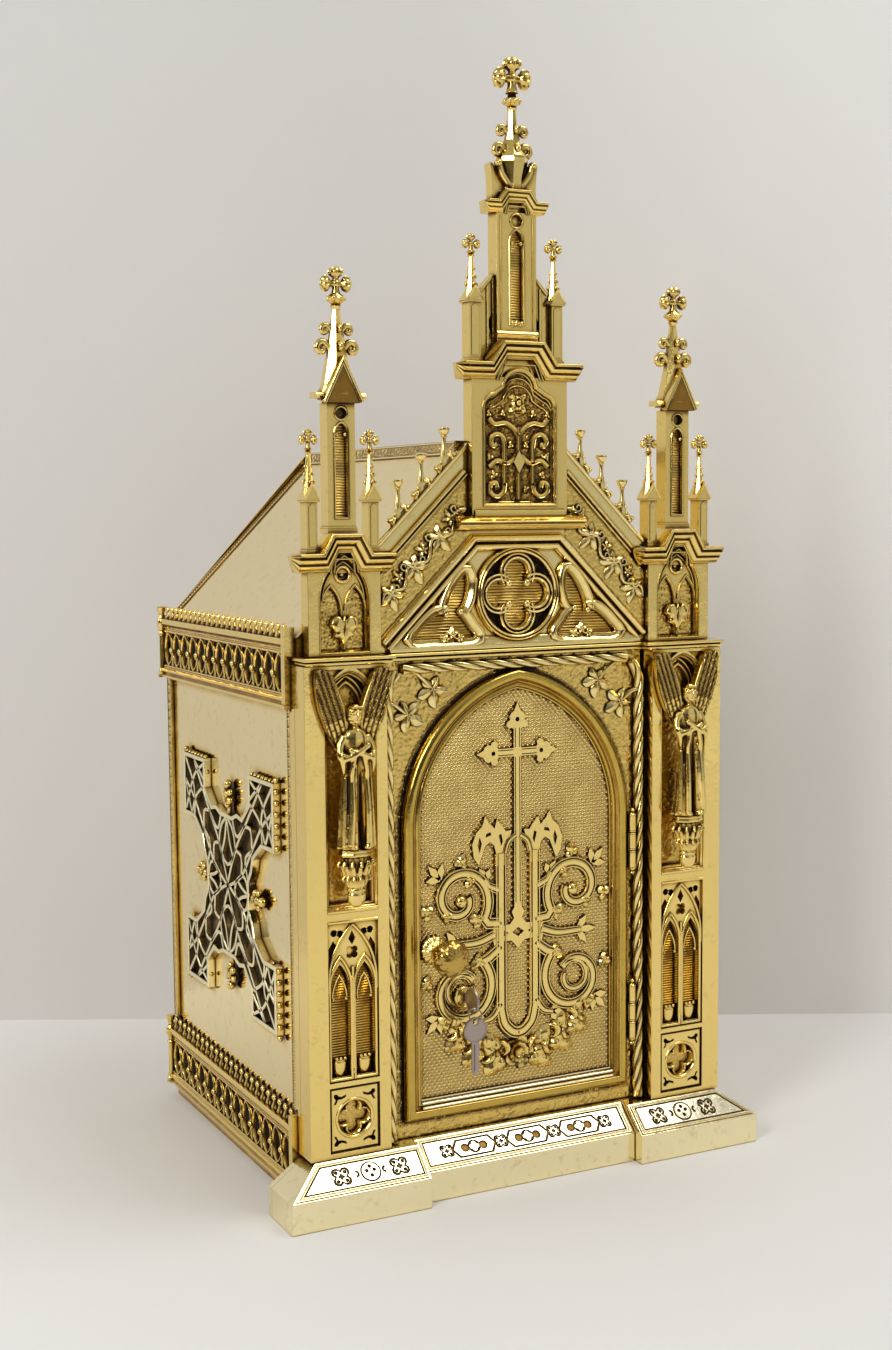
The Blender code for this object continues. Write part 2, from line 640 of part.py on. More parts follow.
# ---- members that crown the tower and turrets -----------------------------------------------------------
def stepped_cornice(cx, half, low, high, rise, crown, shoulder, inner):
    """Outlines of a cornice that climbs over a raised middle: its upper member, its lower one, and the
    field under the raised part.  crown and shoulder are half widths at the top and foot of the rise."""
    mid = (low + high) / 2
    thin = (high - low) * 0.45
    top = high + rise
    upper = [(-half, mid), (-shoulder + thin * 0.4, mid), (-crown + thin * 0.5, top - thin),
             (crown - thin * 0.5, top - thin), (shoulder - thin * 0.4, mid), (half, mid), (half, high),
             (shoulder, high), (crown, top), (-crown, top), (-shoulder, high), (-half, high)]
    narrow = half - thin
    lower = [(-narrow, low), (-inner, low), (-crown + thin, high + rise - 2 * thin),
             (crown - thin, high + rise - 2 * thin), (inner, low), (narrow, low), (narrow, mid),
             (shoulder - thin * 0.4, mid), (crown - thin * 0.5, high + rise - thin),
             (-crown + thin * 0.5, high + rise - thin), (-shoulder + thin * 0.4, mid), (-narrow, mid)]
    field = [(-inner, low), (inner, low), (crown - thin, high + rise - 2 * thin),
             (-crown + thin, high + rise - 2 * thin)]
    return [[(cx + x, z) for x, z in points] for points in (upper, lower, field)]


def cross(x, y, z, reach, low):
    """A cross with spreading arms on a short stem that starts at low."""
    thin, wide, waist = reach * 0.17, reach * 0.36, reach * 0.62
    arm = [(thin, thin), (thin, waist), (wide, reach * 0.8), (0.0, reach)]
    arm += [(-dx, dz) for dx, dz in reversed(arm[:-1])]
    side = [(-dz, dx) for dx, dz in arm[1:-1]]
    right = [(-dx, dz) for dx, dz in reversed(side)]
    outline = arm + side + [(-thin, -thin), (-thin, low - z), (thin, low - z), (thin, -thin)] + right
    return prism([(x + dx, z + dz) for dx, dz in outline], y - reach * 0.16, y + reach * 0.16)


def tower_lower():
    upper, lower, field = stepped_cornice(0.0, 58.5, TOWER_TOP, 669.5, 16.5, 18.5, 30.0, 24.5)
    head = [(-33.0, 556.0), (33.0, 556.0), (33.0, 632.0)] + arc(22.0, 635.0, 11.0, 10, 80, 2)
    head += arc(0.0, 650.0, 14.5, 5, 175, 6) + arc(-22.0, 635.0, 11.0, 100, 170, 2) + [(-33.0, 632.0)]
    layers = [(rect(-TOWER_HALF, TOWER_HALF, TOWER_FOOT, TOWER_TOP), TOWER_FACE),
              (rect(-58.0, 58.0, 537.0, TOWER_FOOT), -1.5), (upper, -3.0), (lower, 1.5),
              (field, TOWER_FACE), (head, 11.5)]
    flower = [(-11, 637), (-9, 630), (9, 630), (11, 637), (6.5, 635), (3.8, 642), (0.9, 644), (5.5, 652),
              (0, 658), (-5.5, 652), (-0.9, 644), (-3.8, 642), (-6.5, 635)]
    layers.append((flower, 8.5))
    for s in (-1, 1):
        scroll = volute(s * 13.0, 606.0, 13.0, 3.5, 90, 90 - s * 360, 5)
        layers.append((ribbon(scroll, 4.0, 0.7), 8.5))
        low = volute(s * 13.5, 574.0, 12.5, 3.5, 270, 270 + s * 360, 5)
        layers.append((ribbon(low, 4.0, 0.7), 8.5))
    layers.append((rect(-1.8, 1.8, 563.0, 626.0), 8.4))
    place("tower_lower", relief(layers, TOWER_BACK))


def tower_upper():
    upper, lower, field = stepped_cornice(0.0, 29.5, 787.5, 797.0, 8.5, 10.8, 17.0, 12.5)
    body = [(30.2, 670.3), (32.2, 670.3), (32.2, 717.0), (30.0, 717.0), (30.0, 725.3), (18.0, 738.5),
            (18.0, 788.0)]
    crown = [(18.9, 686.5)]
    outline = crown + body + mirror(body) + mirror(crown)
    layers = [(outline, 17.0), (rect(-18.0, 18.0, 686.5, 787.5), 11.0), (upper, 6.0), (lower, 8.0),
              (field, 11.0), (rect(-18.6, 18.6, 689.0, 695.0), 9.0),
              (lancet(0.0, 5.6, 700.5, 766.0, 774.0, 2), 15.0), (circle(0.0, 782.0, 5.0, 8), 15.0)]
    place("tower_upper", relief(layers, 26.0))


def crocket_pair(x, y, z, reach):
    """Two leafy knobs that spring from a spire on either side."""
    tip = [(reach - 3.0, 3.0), (reach, -1.6), (2.0, -3.0)]
    outline = [(x + dx, z + dz) for dx, dz in tip] + [(x - dx, z + dz) for dx, dz in reversed(tip)]
    return prism(outline, y - 2.2, y + 2.2)


def spire():
    y = SPIRE_AXIS_Y
    top = 805.5 + GAP
    profile = [(8.5, top), (12.6, 831.0), (4.9, 854.0), (3.3, 871.0), (7.6, 875.5), (3.0, 880.0), (2.6, 886.0)]
    body = turned(0.0, y, profile, 6, 0.0)
    base = 797.0 + GAP
    horn = [(17.6, base), (20.2, base), (21.5, 826.0), (14.0, 821.0), (6.0, 810.5), (11.5, 806.0),
            (17.6, 799.0)]
    foot = [prism([(s * x, z) for x, z in horn], 14.5, 25.0) for s in (-1, 1)]
    crockets = [crocket_pair(0.0, y, 838.5, 16.0), crocket_pair(0.0, y, 852.0, 12.0)]
    place("tower_spire", [body] + foot + crockets + [cross(0.0, y, 893.4, 17.4, 883.0)])


def pointed_cross(x, y, z, reach, low):
    """The same for the small pinnacles, with four plain points."""
    thin = reach * 0.24
    outline = [(0.0, reach), (-thin, thin), (-reach, 0.0), (-thin, -thin), (-thin, low - z),
               (thin, low - z), (thin, -thin), (reach, 0.0), (thin, thin)]
    return prism([(x + dx, z + dz) for dx, dz in outline], y - 1.3, y + 1.3)


def pinnacle(x, half, depth, y0, foot, eave, apex, neck, cross_z, reach):
    """A small square pinnacle: shaft, gabled cap, spirelet and cross."""
    y = y0 + depth / 2
    shaft = block(x - half, x + half, y0, y0 + depth, foot, eave)
    gable = [(x - half - 2.2, eave - 1.5), (x + half + 2.2, eave - 1.5), (x, apex)]
    cap = prism(gable, y0 - 1.8, y0 + depth + 1.8)
    needle = turned(x, y, [(half + 0.6, eave - 0.4), (half * 0.4, neck), (half * 0.8, neck + 1.8),
                           (half * 0.4, neck + 3.6)], 4, 45.0)
    return [shaft, cap, needle, pointed_cross(x, y, cross_z, reach, neck + 1.0)]


def tower_pinnacles():
    solids = pinnacle(37.6, 5.0, 13.0, 11.5, 670.0 + GAP, 719.0, 729.0, 754.0, 761.5, 6.8)
    both_sides("tower_pinnacle", solids)


# ---- turrets ---------------------------------------------------------------------------------------
def turret_block():
    cx, face = TURRET_X, TURRET_FACE
    low, high = CORNICE_Z
    upper, lower, field = stepped_cornice(cx, CORNICE_HALF, low, high, 15.0, 12.8, 21.0, 15.5)
    recess = [(cx - 18.4, 444.5), (cx + 18.4, 444.5)] + arch_head(cx, 18.4, 486.0, 513.0, 3)
    layers = [(rect(cx - 30.6, cx + 30.6, LEDGE_Z[1] + GAP, low), face), (upper, -1.5), (lower, 2.0),
              (field, face), (recess, face + 3.0)]
    for s in (-1, 1):
        layers.append((lancet(cx + s * 9.4, 7.6, 447.0, 474.0, 490.0, 2), face + 8.0))
    layers.append((circle(cx, 499.5, 5.4, 6), face + 8.0))
    layers.append((leaf(cx, 459.0, 11.0, 270, 3, 0.3), face - 2.0))
    both_sides("turret_block", relief(layers, TURRET_BACK))


def turret_shaft():
    cx, front, rear = TURRET_X, 11.0, 25.0
    foot, eave = 535.5 + GAP, 635.0
    y = (front + rear) / 2
    body = relief([(rect(cx - 11.6, cx + 11.6, foot, eave + 1.0), front),
                   (lancet(cx, 4.9, 548.0, 612.0, 619.0, 2), front + 4.0),
                   (circle(cx, 627.2, 4.6, 8), front + 4.0)], rear)
    eaves = block(cx - 20.5, cx + 20.5, front - 3.0, rear + 2.0, eave - 0.8, eave + 3.4)
    cap = prism([(cx - 15.5, eave + 2.0), (cx + 15.5, eave + 2.0), (cx + 1.0, 667.5), (cx - 1.0, 667.5)],
                front - 4.2, y)
    needle = turned(cx, y, [(15.8, eave + 2.6), (14.0, 646.0), (5.0, 694.0), (3.2, 708.0), (7.6, 714.0),
                            (3.2, 719.5)], 6, 0.0)
    crockets = [crocket_pair(cx, y, 678.0, 16.0), crocket_pair(cx, y, 690.5, 12.2)]
    both_sides("turret_shaft", [body, eaves, cap, needle] + crockets + [cross(cx, y, 725.6, 13.4, 717.0)])
    for name, step in (("inner", -1), ("outer", 1)):
        foot = CORNICE_Z[1] + GAP
        solids = pinnacle(cx + step * 25.8, 4.4, 13.0, 9.0, foot, 562.0, 573.0, 598.0, 606.5, 6.6)
        both_sides(f"turret_pinnacle_{name}", solids)


# ---- galleries and side ornament -------------------------------------------------------------------
def gallery(name, low, high):
    """A gallery of pointed openings with a crest of points, on both side walls."""
    start, end = PLINTH_REAR + GAP, REAR
    bays, teeth = 10, 13
    pitch, tooth = (end - start - 8.0) / bays, (end - start) / teeth
    face = -(GALLERY_X - 3.0)
    crest = []
    for k in range(teeth, 0, -1):
        crest += [(start + (k - 0.5) * tooth, high + CREST), (start + (k - 1) * tooth, high)]
    layers = [([(start, low), (end, low), (end, high)] + crest, face),
              (rect(start, end, low, low + 8.0), -GALLERY_X - 1.5),
              (rect(start, end, high - 8.0, high - 1.0), -GALLERY_X - 1.5)]
    mid = (low + high) / 2
    for k in range(bays):
        x = start + 4.0 + (k + 0.5) * pitch
        layers.append(([(x, mid - 16.0), (x + 8.0, mid), (x, mid + 16.0), (x - 8.0, mid)], -(WALL_X + 1.5)))
    both_sides(f"gallery_{name}", sideways(relief(layers, -(WALL_X + GAP))))


def back_mouldings():
    for name, (low, high) in GALLERY_SPANS.items():
        place(f"back_moulding_{name}",
              block(-WALL_X, WALL_X, WALL_REAR + GAP, REAR, high - 9.0, high))


def side_tracery():
    """The saltire on each side wall: a flared square end on every arm, a fleuron between the arms."""
    cx, cz = 173.5, 234.0
    reach_x, reach_z, end = 109.0, 101.0, 53.0

    def spot(x, z, reach=9.0):
        return [(x + reach, z), (x, z + reach), (x - reach, z), (x, z - reach)]

    def arm(sx, sz):
        points = [(26.0, 62.0), (reach_x - end, reach_z - 22.0), (reach_x - end, reach_z),
                  (reach_x, reach_z), (reach_x, reach_z - end), (reach_x - 30.0, reach_z - end),
                  (52.0, 22.0)]
        return [(cx + sx * x, cz + sz * z) for x, z in (points if sx == sz else points[::-1])]

    def fleuron(dx, dz):
        base_x, base_z, tip_x, tip_z = cx + dx * 50, cz + dz * 60, cx + dx * 88, cz + dz * 88
        side_x, side_z = tip_x - dx * 12, tip_z - dz * 12
        near = [(base_x - dz * 4, base_z + dx * 4), (side_x - dz * 9, side_z + dx * 9)]
        far = [(side_x + dz * 9, side_z - dx * 9), (base_x + dz * 4, base_z - dx * 4)]
        return near + [(tip_x, tip_z)] + far

    outline = arm(1, 1) + fleuron(1, 0) + arm(1, -1) + fleuron(0, -1)
    outline += arm(-1, -1) + fleuron(-1, 0) + arm(-1, 1) + fleuron(0, 1)
    layers = [(outline, -(WALL_X + 7.0))]
    ground = -(WALL_X + 1.6)
    for sx in (-1, 1):
        for sz in (-1, 1):
            ex, ez = cx + sx * (reach_x - end / 2), cz + sz * (reach_z - end / 2)
            layers.append((spot(ex, ez, 17.0), ground))
    for dx, dz in ((0, 44), (0, -44), (38, 0), (-38, 0), (0, 0)):
        layers.append((spot(cx + dx, cz + dz), ground))
    both_sides("side_tracery", sideways(relief(layers, -(WALL_X + GAP))))


def corner_trims():
    low, high = GALLERY_SPANS["lower"][1] + CREST + 1.0, GALLERY_SPANS["upper"][0] - GAP
    spans = {"front": (PIER_DEPTH + 2.0, PIER_DEPTH + 9.0), "rear": (WALL_REAR - 13.0, WALL_REAR - 3.0)}
    for name, (y0, y1) in spans.items():
        both_sides(f"trim_{name}", block(WALL_X + GAP, WALL_X + 3.4, y0, y1, low, high))


# ---- door ------------------------------------------------------------------------------------------
def door_outline(inset):
    return lancet(0.0, DOOR_HALF - inset, DOOR_FOOT + inset, DOOR_SPRING, DOOR_APEX - inset * 0.85, 6)


def door_cross(half):
    """Outline of the long cross: three ends open into pointed trefoils, the foot into a cross piece."""
    cz = 355.0
    arm = [(half, half), (half, 21.0), (9.5, 25.0), (6.5, 31.0), (4.5, 33.0), (0.0, 41.0)]
    arm += [(-x, z) for x, z in reversed(arm[:-1])]
    top = [(x, cz + z) for x, z in arm]
    left = [(-z * 0.92, cz + x) for x, z in arm[1:-1]]
    right = [(z * 0.92, cz - x) for x, z in arm[1:-1]]
    shaft = [(-half, cz - half), (-half, 226.0), (-7.5, 212.0), (-22.5, 215.0), (-22.5, 195.0),
             (-6.0, 198.0)]
    foot = [(-x, z) for x, z in reversed(shaft)]
    return top + left + shaft + [(0.0, 190.0)] + foot + right


def door_straps():
    """The strap work of the right half of the door, joined in a loop below the cross."""
    upright = [(16.0, 272.0), (16.0, 144.0), (11.5, 125.0), (0.0, 118.6)]
    straps = [ribbon(upright, 9.6), ribbon([(13.0, 273.0), (6.5, 285.0), (0.0, 287.0)], 5.6)]
    crest = [(11.2, 262.0), (36.4, 264.0), (42.0, 280.0), (31.5, 303.0), (25.0, 291.0), (19.6, 300.0)]
    straps.append(crest)
    straps.append(ribbon([(18.0, 209.0)] + volute(54.0, 237.0, 28.5, 11.0, 218, -120, 5), 7.6, 0.7))
    straps.append(ribbon([(18.0, 199.0)] + volute(53.0, 161.0, 30.5, 14.0, 132, 460, 5), 7.6, 0.7))
    straps.append(ribbon([(22.0, 205.0), (52.0, 199.5)], 6.0))
    return straps


def door_leaves():
    """Centre, size and direction of the leaves round the straps and in the garland, right half."""
    return [(57.5, 199.5, 7.5, 0), (24.0, 102.0, 10.0, -20), (46.0, 116.0, 11.0, 25)]


def door(hinge):
    raised = DOOR_FACE - 2.0 - 2.6
    field = DOOR_FACE - 2.0
    layers = [(door_outline(0.0), 12.0), (door_outline(2.4), 8.0), (door_outline(10.0), 12.0),
              (door_outline(DOOR_FRAME), field), (door_cross(3.2), raised)]
    for strap in door_straps():
        layers += [(strap, raised), (mirror(strap), raised)]
    for cx, cz, size, turn in door_leaves():
        outline = leaf(cx, cz, size, turn, 3, 0.4)
        layers += [(outline, raised - 0.6), (mirror(outline), raised - 0.6)]
    layers += [(circle(*KNOB, 11.5, 6), raised), (circle(*LOCK, 10.5, 6), raised)]
    layers.append((circle(0.0, 103.0, 14.5, 8), raised - 1.5))
    inner = lancet(0.0, DOOR_HALF - 9.3, DOOR_FOOT + 9.3, DOOR_SPRING, DOOR_APEX - 12.0, 6)
    slab_in = prism(inner, 16.0, 20.0)
    slab = relief(layers, BAY_FACE - GAP)
    place("door", [slab, slab_in], "brass_antique", hinge, (HINGE_X, HINGE_Y, 0.0))


def tube(x, y, r_in, r_out, z0, z1, sides):
    """A ring about a vertical axis, for a hinge knuckle."""
    section = [(r_in, z0), (r_out, z0), (r_out, z1), (r_in, z1)]
    rings = []
    for k in range(sides):
        a = 2 * math.pi * k / sides
        rings.append([(x + r * math.cos(a), y + r * math.sin(a), z) for r, z in section])
    verts = [p for ring in rings for p in ring]
    faces = [[k * 4 + i, k * 4 + (i + 1) % 4, (k + 1) % sides * 4 + (i + 1) % 4, (k + 1) % sides * 4 + i]
             for k in range(sides) for i in range(4)]
    return verts, faces


KNUCKLE_R = 3.4
PIN_R = 1.5


def hinges(hinge):
    """Two three-knuckle hinges: outer knuckles and pin on the case, the middle knuckle on the door."""
    for name, (low, high) in zip(("upper", "lower"), HINGE_SPANS):
        third = (high - low) / 3
        a, b = low + third, high - third
        finial = [(0.9, low - 5.0), (2.4, low - 2.6)]
        profile = finial + [(KNUCKLE_R, low), (KNUCKLE_R, a), (PIN_R, a), (PIN_R, b), (KNUCKLE_R, b),
                            (KNUCKLE_R, high)]
        profile += [(r, low + high - z) for r, z in reversed(finial)]
        webs = [block(HINGE_X - 1.5, HINGE_X + 1.5, HINGE_Y + 2.0, BAY_FACE - GAP, z0, z1)
                for z0, z1 in ((low + 2.0, a - 1.0), (b + 1.0, high - 2.0))]
        place(f"hinge_{name}_case", [turned(HINGE_X, HINGE_Y, profile, 6)] + webs)
        knuckle = tube(HINGE_X, HINGE_Y, PIN_R + GAP, KNUCKLE_R, a + GAP, b - GAP, 6)
        leaf_plate = block(DOOR_HALF + GAP, HINGE_X - 2.2, HINGE_Y - 0.6, 15.2, a + GAP, b - GAP)
        place(f"hinge_{name}_door", [knuckle, leaf_plate], "brass_antique", hinge, (HINGE_X, HINGE_Y, 0.0))


LOCK = (-52.0, 157.0)
KNOB = (-79.0, 199.0)
KEY_BOW = 10.8
KEY_EYE = 2.3
KEY_THICK = 2.0
RING_R = 5.5
RING_WIRE = 0.6


def ring_through(centre):
    """The split ring, hanging in an upright plane at 45 degrees between the two keys."""
    lean = math.sqrt(0.5)
    verts, steps = [], 10
    for k in range(steps):
        a = 2 * math.pi * (k + 0.5) / steps
        for b in (0.0, 2 * math.pi / 3, 4 * math.pi / 3):
            out = (RING_R + RING_WIRE * math.cos(b)) * math.cos(a) * lean
            side = RING_WIRE * math.sin(b) * lean
            verts.append((centre[0] + out + side, centre[1] + out - side,
                          centre[2] + (RING_R + RING_WIRE * math.cos(b)) * math.sin(a)))
    faces = [[k * 3 + i, k * 3 + (i + 1) % 3, (k + 1) % steps * 3 + (i + 1) % 3, (k + 1) % steps * 3 + i]
             for k in range(steps) for i in range(3)]
    return verts, faces


def door_fittings(hinge):
    field = DOOR_FACE - 2.0
    origin = (HINGE_X, HINGE_Y, 0.0)
    kx, kz = KNOB
    profile = [(10.0, field - 2.6 - GAP), (10.0, field - 4.5), (4.4, field - 9.0), (4.2, -8.0),
               (13.6, -14.5), (15.4, -20.0), (12.6, -25.4), (5.0, KNOB_TIP)]
    place("door_knob", turned_out(kx, kz, profile, 9), "brass_antique", hinge, origin)
    lx, lz = LOCK
    barrel = [(foils(lx, lz, 0.4, 8.6, 12, 1), 9.2), (rect(lx - 1.4, lx + 1.4, lz - 4.4, lz + 4.4), 11.6)]
    place("lock", relief(barrel, field - 2.6 - GAP), "brass_polished", hinge, origin)

    # The key stands edge-on in the lock; its twin hangs from a split ring through both bows.
    bow_y, bow_z = -4.0, lz + 0.5
    eye_y, eye_z = bow_y - 4.8, bow_z - 5.0
    blank = [(6.5, lz - 3.8), (11.3, lz - 3.8), (11.3, lz + 3.8), (6.5, lz + 3.8)]
    blank += arc(bow_y, bow_z, KEY_BOW, 22, 338, 10)
    flank = -lx - KEY_THICK / 2
    key = sideways(relief([(blank, flank), (circle(eye_y, eye_z, KEY_EYE, 6), None)], flank + KEY_THICK))
    place("key_in_lock", key, "steel", hinge, origin)
    place("key_ring", ring_through((lx, eye_y, eye_z - RING_R)), "steel", hinge, origin)
    eye_z -= 2 * RING_R
    head = eye_z - 6.8
    spare = arc(lx, head, KEY_BOW, -72, 252, 10) + [(lx - 3.4, head - 36.0), (lx - 1.0, head - 38.0),
                                                    (lx + 2.0, head - 36.0), (lx + 3.4, head - 27.0)]
    front = eye_y - KEY_THICK / 2
    blank = relief([(spare, front), (circle(lx, eye_z, KEY_EYE, 6), None)], front + KEY_THICK)
    place("spare_key", blank, "steel", hinge, origin)


# ---- the whole ------------------------------------------------------------------------------------------
def build():
    for thing in list(bpy.data.objects):
        bpy.data.objects.remove(thing, do_unlink=True)
    hinge = bpy.data.objects.new("door_hinge_axis", None)
    bpy.context.collection.objects.link(hinge)
    hinge.location = (HINGE_X * MM, (HINGE_Y - ORIGIN_Y) * MM, 0.0)
    bpy.context.view_layer.update()
    plinth()
    case()
    pier()
    angel()
    string_ledge()
    rope_and_leaves()
    gable()
    rake()
    tower_lower()
    tower_upper()
    spire()
    tower_pinnacles()
    turret_block()
    turret_shaft()
    for name, (low, high) in GALLERY_SPANS.items():
        gallery(name, low, high)
    back_mouldings()
    side_tracery()
    corner_trims()
    door(hinge)
    hinges(hinge)
    door_fittings(hinge)


build()
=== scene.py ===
"""Gothic brass altar tabernacle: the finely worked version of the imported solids.

Forms are drawn in millimetres in the maker's frame: x to the viewer's right, y into the case with y = 0 on
the front faces of the piers, z up from the ground.  make() turns them into metres round the origin of the
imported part.
"""
import json
from math import asin, atan2, ceil, cos, degrees, exp, floor, hypot, pi, radians, sin, sqrt

import bpy
import bmesh
import numpy as np
from mathutils import Matrix, Vector
from mathutils.geometry import delaunay_2d_cdt

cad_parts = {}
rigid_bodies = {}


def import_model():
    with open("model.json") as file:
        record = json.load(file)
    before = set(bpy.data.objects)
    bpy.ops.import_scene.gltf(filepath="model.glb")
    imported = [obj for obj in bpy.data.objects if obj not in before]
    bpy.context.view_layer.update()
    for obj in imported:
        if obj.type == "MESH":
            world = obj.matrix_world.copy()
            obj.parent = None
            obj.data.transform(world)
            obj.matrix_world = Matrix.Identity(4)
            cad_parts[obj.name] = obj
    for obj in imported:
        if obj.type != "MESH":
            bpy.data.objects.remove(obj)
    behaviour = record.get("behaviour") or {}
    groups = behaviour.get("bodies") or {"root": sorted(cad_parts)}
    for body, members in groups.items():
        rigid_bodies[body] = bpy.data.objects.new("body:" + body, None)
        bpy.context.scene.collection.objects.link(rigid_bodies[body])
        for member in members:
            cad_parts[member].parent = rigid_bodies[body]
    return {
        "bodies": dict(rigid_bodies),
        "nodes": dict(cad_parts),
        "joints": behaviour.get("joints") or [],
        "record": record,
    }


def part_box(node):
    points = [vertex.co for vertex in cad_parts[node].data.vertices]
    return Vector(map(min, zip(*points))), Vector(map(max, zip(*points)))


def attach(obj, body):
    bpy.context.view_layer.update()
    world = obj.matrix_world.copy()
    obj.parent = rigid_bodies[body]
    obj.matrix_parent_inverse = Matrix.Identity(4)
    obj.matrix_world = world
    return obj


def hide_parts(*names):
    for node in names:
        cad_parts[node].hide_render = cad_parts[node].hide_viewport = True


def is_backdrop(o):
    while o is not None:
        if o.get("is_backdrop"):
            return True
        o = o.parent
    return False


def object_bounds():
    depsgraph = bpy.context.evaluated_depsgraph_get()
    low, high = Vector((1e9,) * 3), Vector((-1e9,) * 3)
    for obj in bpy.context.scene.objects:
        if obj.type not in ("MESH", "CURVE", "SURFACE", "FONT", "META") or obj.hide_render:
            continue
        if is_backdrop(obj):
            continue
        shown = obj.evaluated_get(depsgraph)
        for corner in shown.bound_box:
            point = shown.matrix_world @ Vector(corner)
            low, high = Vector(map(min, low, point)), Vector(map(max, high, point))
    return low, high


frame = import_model()
cad_low, cad_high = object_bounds()

MM = 0.001
PIER_FACE_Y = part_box("pier_right")[0].y
CORNERS = ((-1, -1), (-1, 1), (1, -1), (1, 1))
EIGHTH_TURN = pi / 4


class Extent:
    """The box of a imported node, in millimetres in the maker's frame."""

    def __init__(self, node):
        low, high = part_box(node)
        self.x0, self.x1 = low.x / MM, high.x / MM
        self.y0, self.y1 = (low.y - PIER_FACE_Y) / MM, (high.y - PIER_FACE_Y) / MM
        self.z0, self.z1 = low.z / MM, high.z / MM
        self.cx, self.cy = (self.x0 + self.x1) / 2, (self.y0 + self.y1) / 2
        self.cz = (self.z0 + self.z1) / 2


# ---- outlines in the x-z plane ----
def arc(cx, cz, r, start, end, steps):
    """Points along a circle, angles in degrees, both ends included."""
    turn = [radians(start + (end - start) * i / steps) for i in range(steps + 1)]
    return [(cx + r * cos(a), cz + r * sin(a)) for a in turn]


def circle(cx, cz, r, steps=32):
    return arc(cx, cz, r, 0, 360, steps)[:-1]


def rect(x0, x1, z0, z1):
    return [(x0, z0), (x1, z0), (x1, z1), (x0, z1)]


def arch_head(cx, half, spring, apex, steps=12):
    """A pointed arch from its right springing over the apex to its left one."""
    rise = apex - spring
    radius = (half * half + rise * rise) / (2 * half)
    top = degrees(asin(min(1, rise / radius)))
    right = arc(cx + half - radius, spring, radius, 0, top, steps)
    right[-1] = (cx, apex)
    return right + [(2 * cx - x, z) for x, z in reversed(right[:-1])]


def lancet(cx, half, foot, spring, apex, steps=12):
    return [(cx - half, foot), (cx + half, foot)] + arch_head(cx, half, spring, apex, steps)


def foils(cx, cz, reach, r, count, steps=9, turn=0):
    """Overlapping circles set round a centre, such as a quatrefoil, as one outline."""
    half = pi / count
    cusp = reach * cos(half) + sqrt(max(r * r - (reach * sin(half)) ** 2, 0.01))
    spread = degrees(atan2(cusp * sin(half), cusp * cos(half) - reach))
    points = []
    for k in range(count):
        a = turn + 2 * pi * k / count
        mid = (cx + reach * cos(a), cz + reach * sin(a))
        points += arc(*mid, r, degrees(a) - spread, degrees(a) + spread, steps)[:-1]
    return points


def mirror(outline):
    """The mirror image about x = 0, listed the same way round."""
    return [(-x, z) for x, z in reversed(outline)]


def placed(points, x, z=0, sx=1, sz=1):
    """Points given from a centre, set round (x, z); sx or sz of -1 mirrors them there."""
    return [(x + sx * dx, z + sz * dz) for dx, dz in points]


def even(*half):
    """A section that is the same on both sides, from its left half."""
    return [*half] + [(-u, h) for u, h in reversed(half) if u]


def spiral(cx, cz, r0, r1, start, end, steps=40, bend=1):
    """A scroll about a centre, its radius running from r0 to r1."""
    points = []
    for i in range(steps + 1):
        t = i / steps
        a = radians(start + (end - start) * t)
        r = r0 + (r1 - r0) * t ** bend
        points.append((cx + r * cos(a), cz + r * sin(a)))
    return points


def curve(points, steps=10, closed=False):
    """A smooth line through points of two or three coordinates."""
    p = [np.array(q, float) for q in points]
    n = len(p)
    out = []
    for i in range(n if closed else n - 1):
        a = p[i - 1] if closed or i else 2 * p[0] - p[1]
        b, c = p[i], p[(i + 1) % n]
        d = p[(i + 2) % n] if closed or i + 2 < n else 2 * p[-1] - p[-2]
        bend, twist = 2 * a - 5 * b + 4 * c - d, 3 * b - 3 * c + d - a
        for k in range(steps):
            t = k / steps
            out.append(tuple(0.5 * (2 * b + (c - a) * t + bend * t ** 2 + twist * t ** 3)))
    return out if closed else out + [tuple(p[-1])]


def inside(outline, x, z):
    """Which of the points (arrays x and z) lie inside an outline."""
    hit = np.zeros(np.shape(x), bool)
    for (ax, az), (bx, bz) in zip(outline, outline[1:] + outline[:1]):
        if az != bz:
            hit ^= ((az > z) != (bz > z)) & (x < ax + (z - az) * (bx - ax) / (bz - az))
    return hit


# ---- solids: (vertices, faces) ----
def rings(loops, closed=False):
    """Loops of equal length joined in order; unless closed, the first and last are filled in."""
    n = len(loops[0])
    verts = np.concatenate([np.asarray(loop, float) for loop in loops])
    count = len(loops)
    faces = []
    for k in range(count if closed else count - 1):
        a, b = k * n, (k + 1) % count * n
        faces += [(a + i, a + (i + 1) % n, b + (i + 1) % n, b + i) for i in range(n)]
    if not closed:
        faces += [tuple(range(n))[::-1], tuple(range(len(verts) - n, len(verts)))]
    return verts, faces


def sweep(path, section, y, closed=False, swell=None):
    """A moulding along a path: section lists (offset to the left, height) from left to right, and height
    counts towards the viewer from the plane y.  swell scales it at each point."""
    p = np.array(path, float)
    before = np.roll(p, 1, 0)
    after = np.roll(p, -1, 0)
    if not closed:
        before[0] = 2 * p[0] - p[1]
        after[-1] = 2 * p[-1] - p[-2]
    lead = (p - before) / np.linalg.norm(p - before, axis=1)[:, None]
    trail = (after - p) / np.linalg.norm(after - p, axis=1)[:, None]
    left_a = np.stack([-lead[:, 1], lead[:, 0]], 1)
    left_b = np.stack([-trail[:, 1], trail[:, 0]], 1)
    mitre = (left_a + left_b) / np.maximum(1 + (left_a * left_b).sum(1), 0.4)[:, None]
    size = np.ones(len(p)) if swell is None else np.array(swell, float)
    loops = []
    for q, m, s in zip(p, mitre, size):
        loops.append([(q[0] + m[0] * u * s, y - h * s, q[1] + m[1] * u * s) for u, h in section])
    return rings(loops, closed)


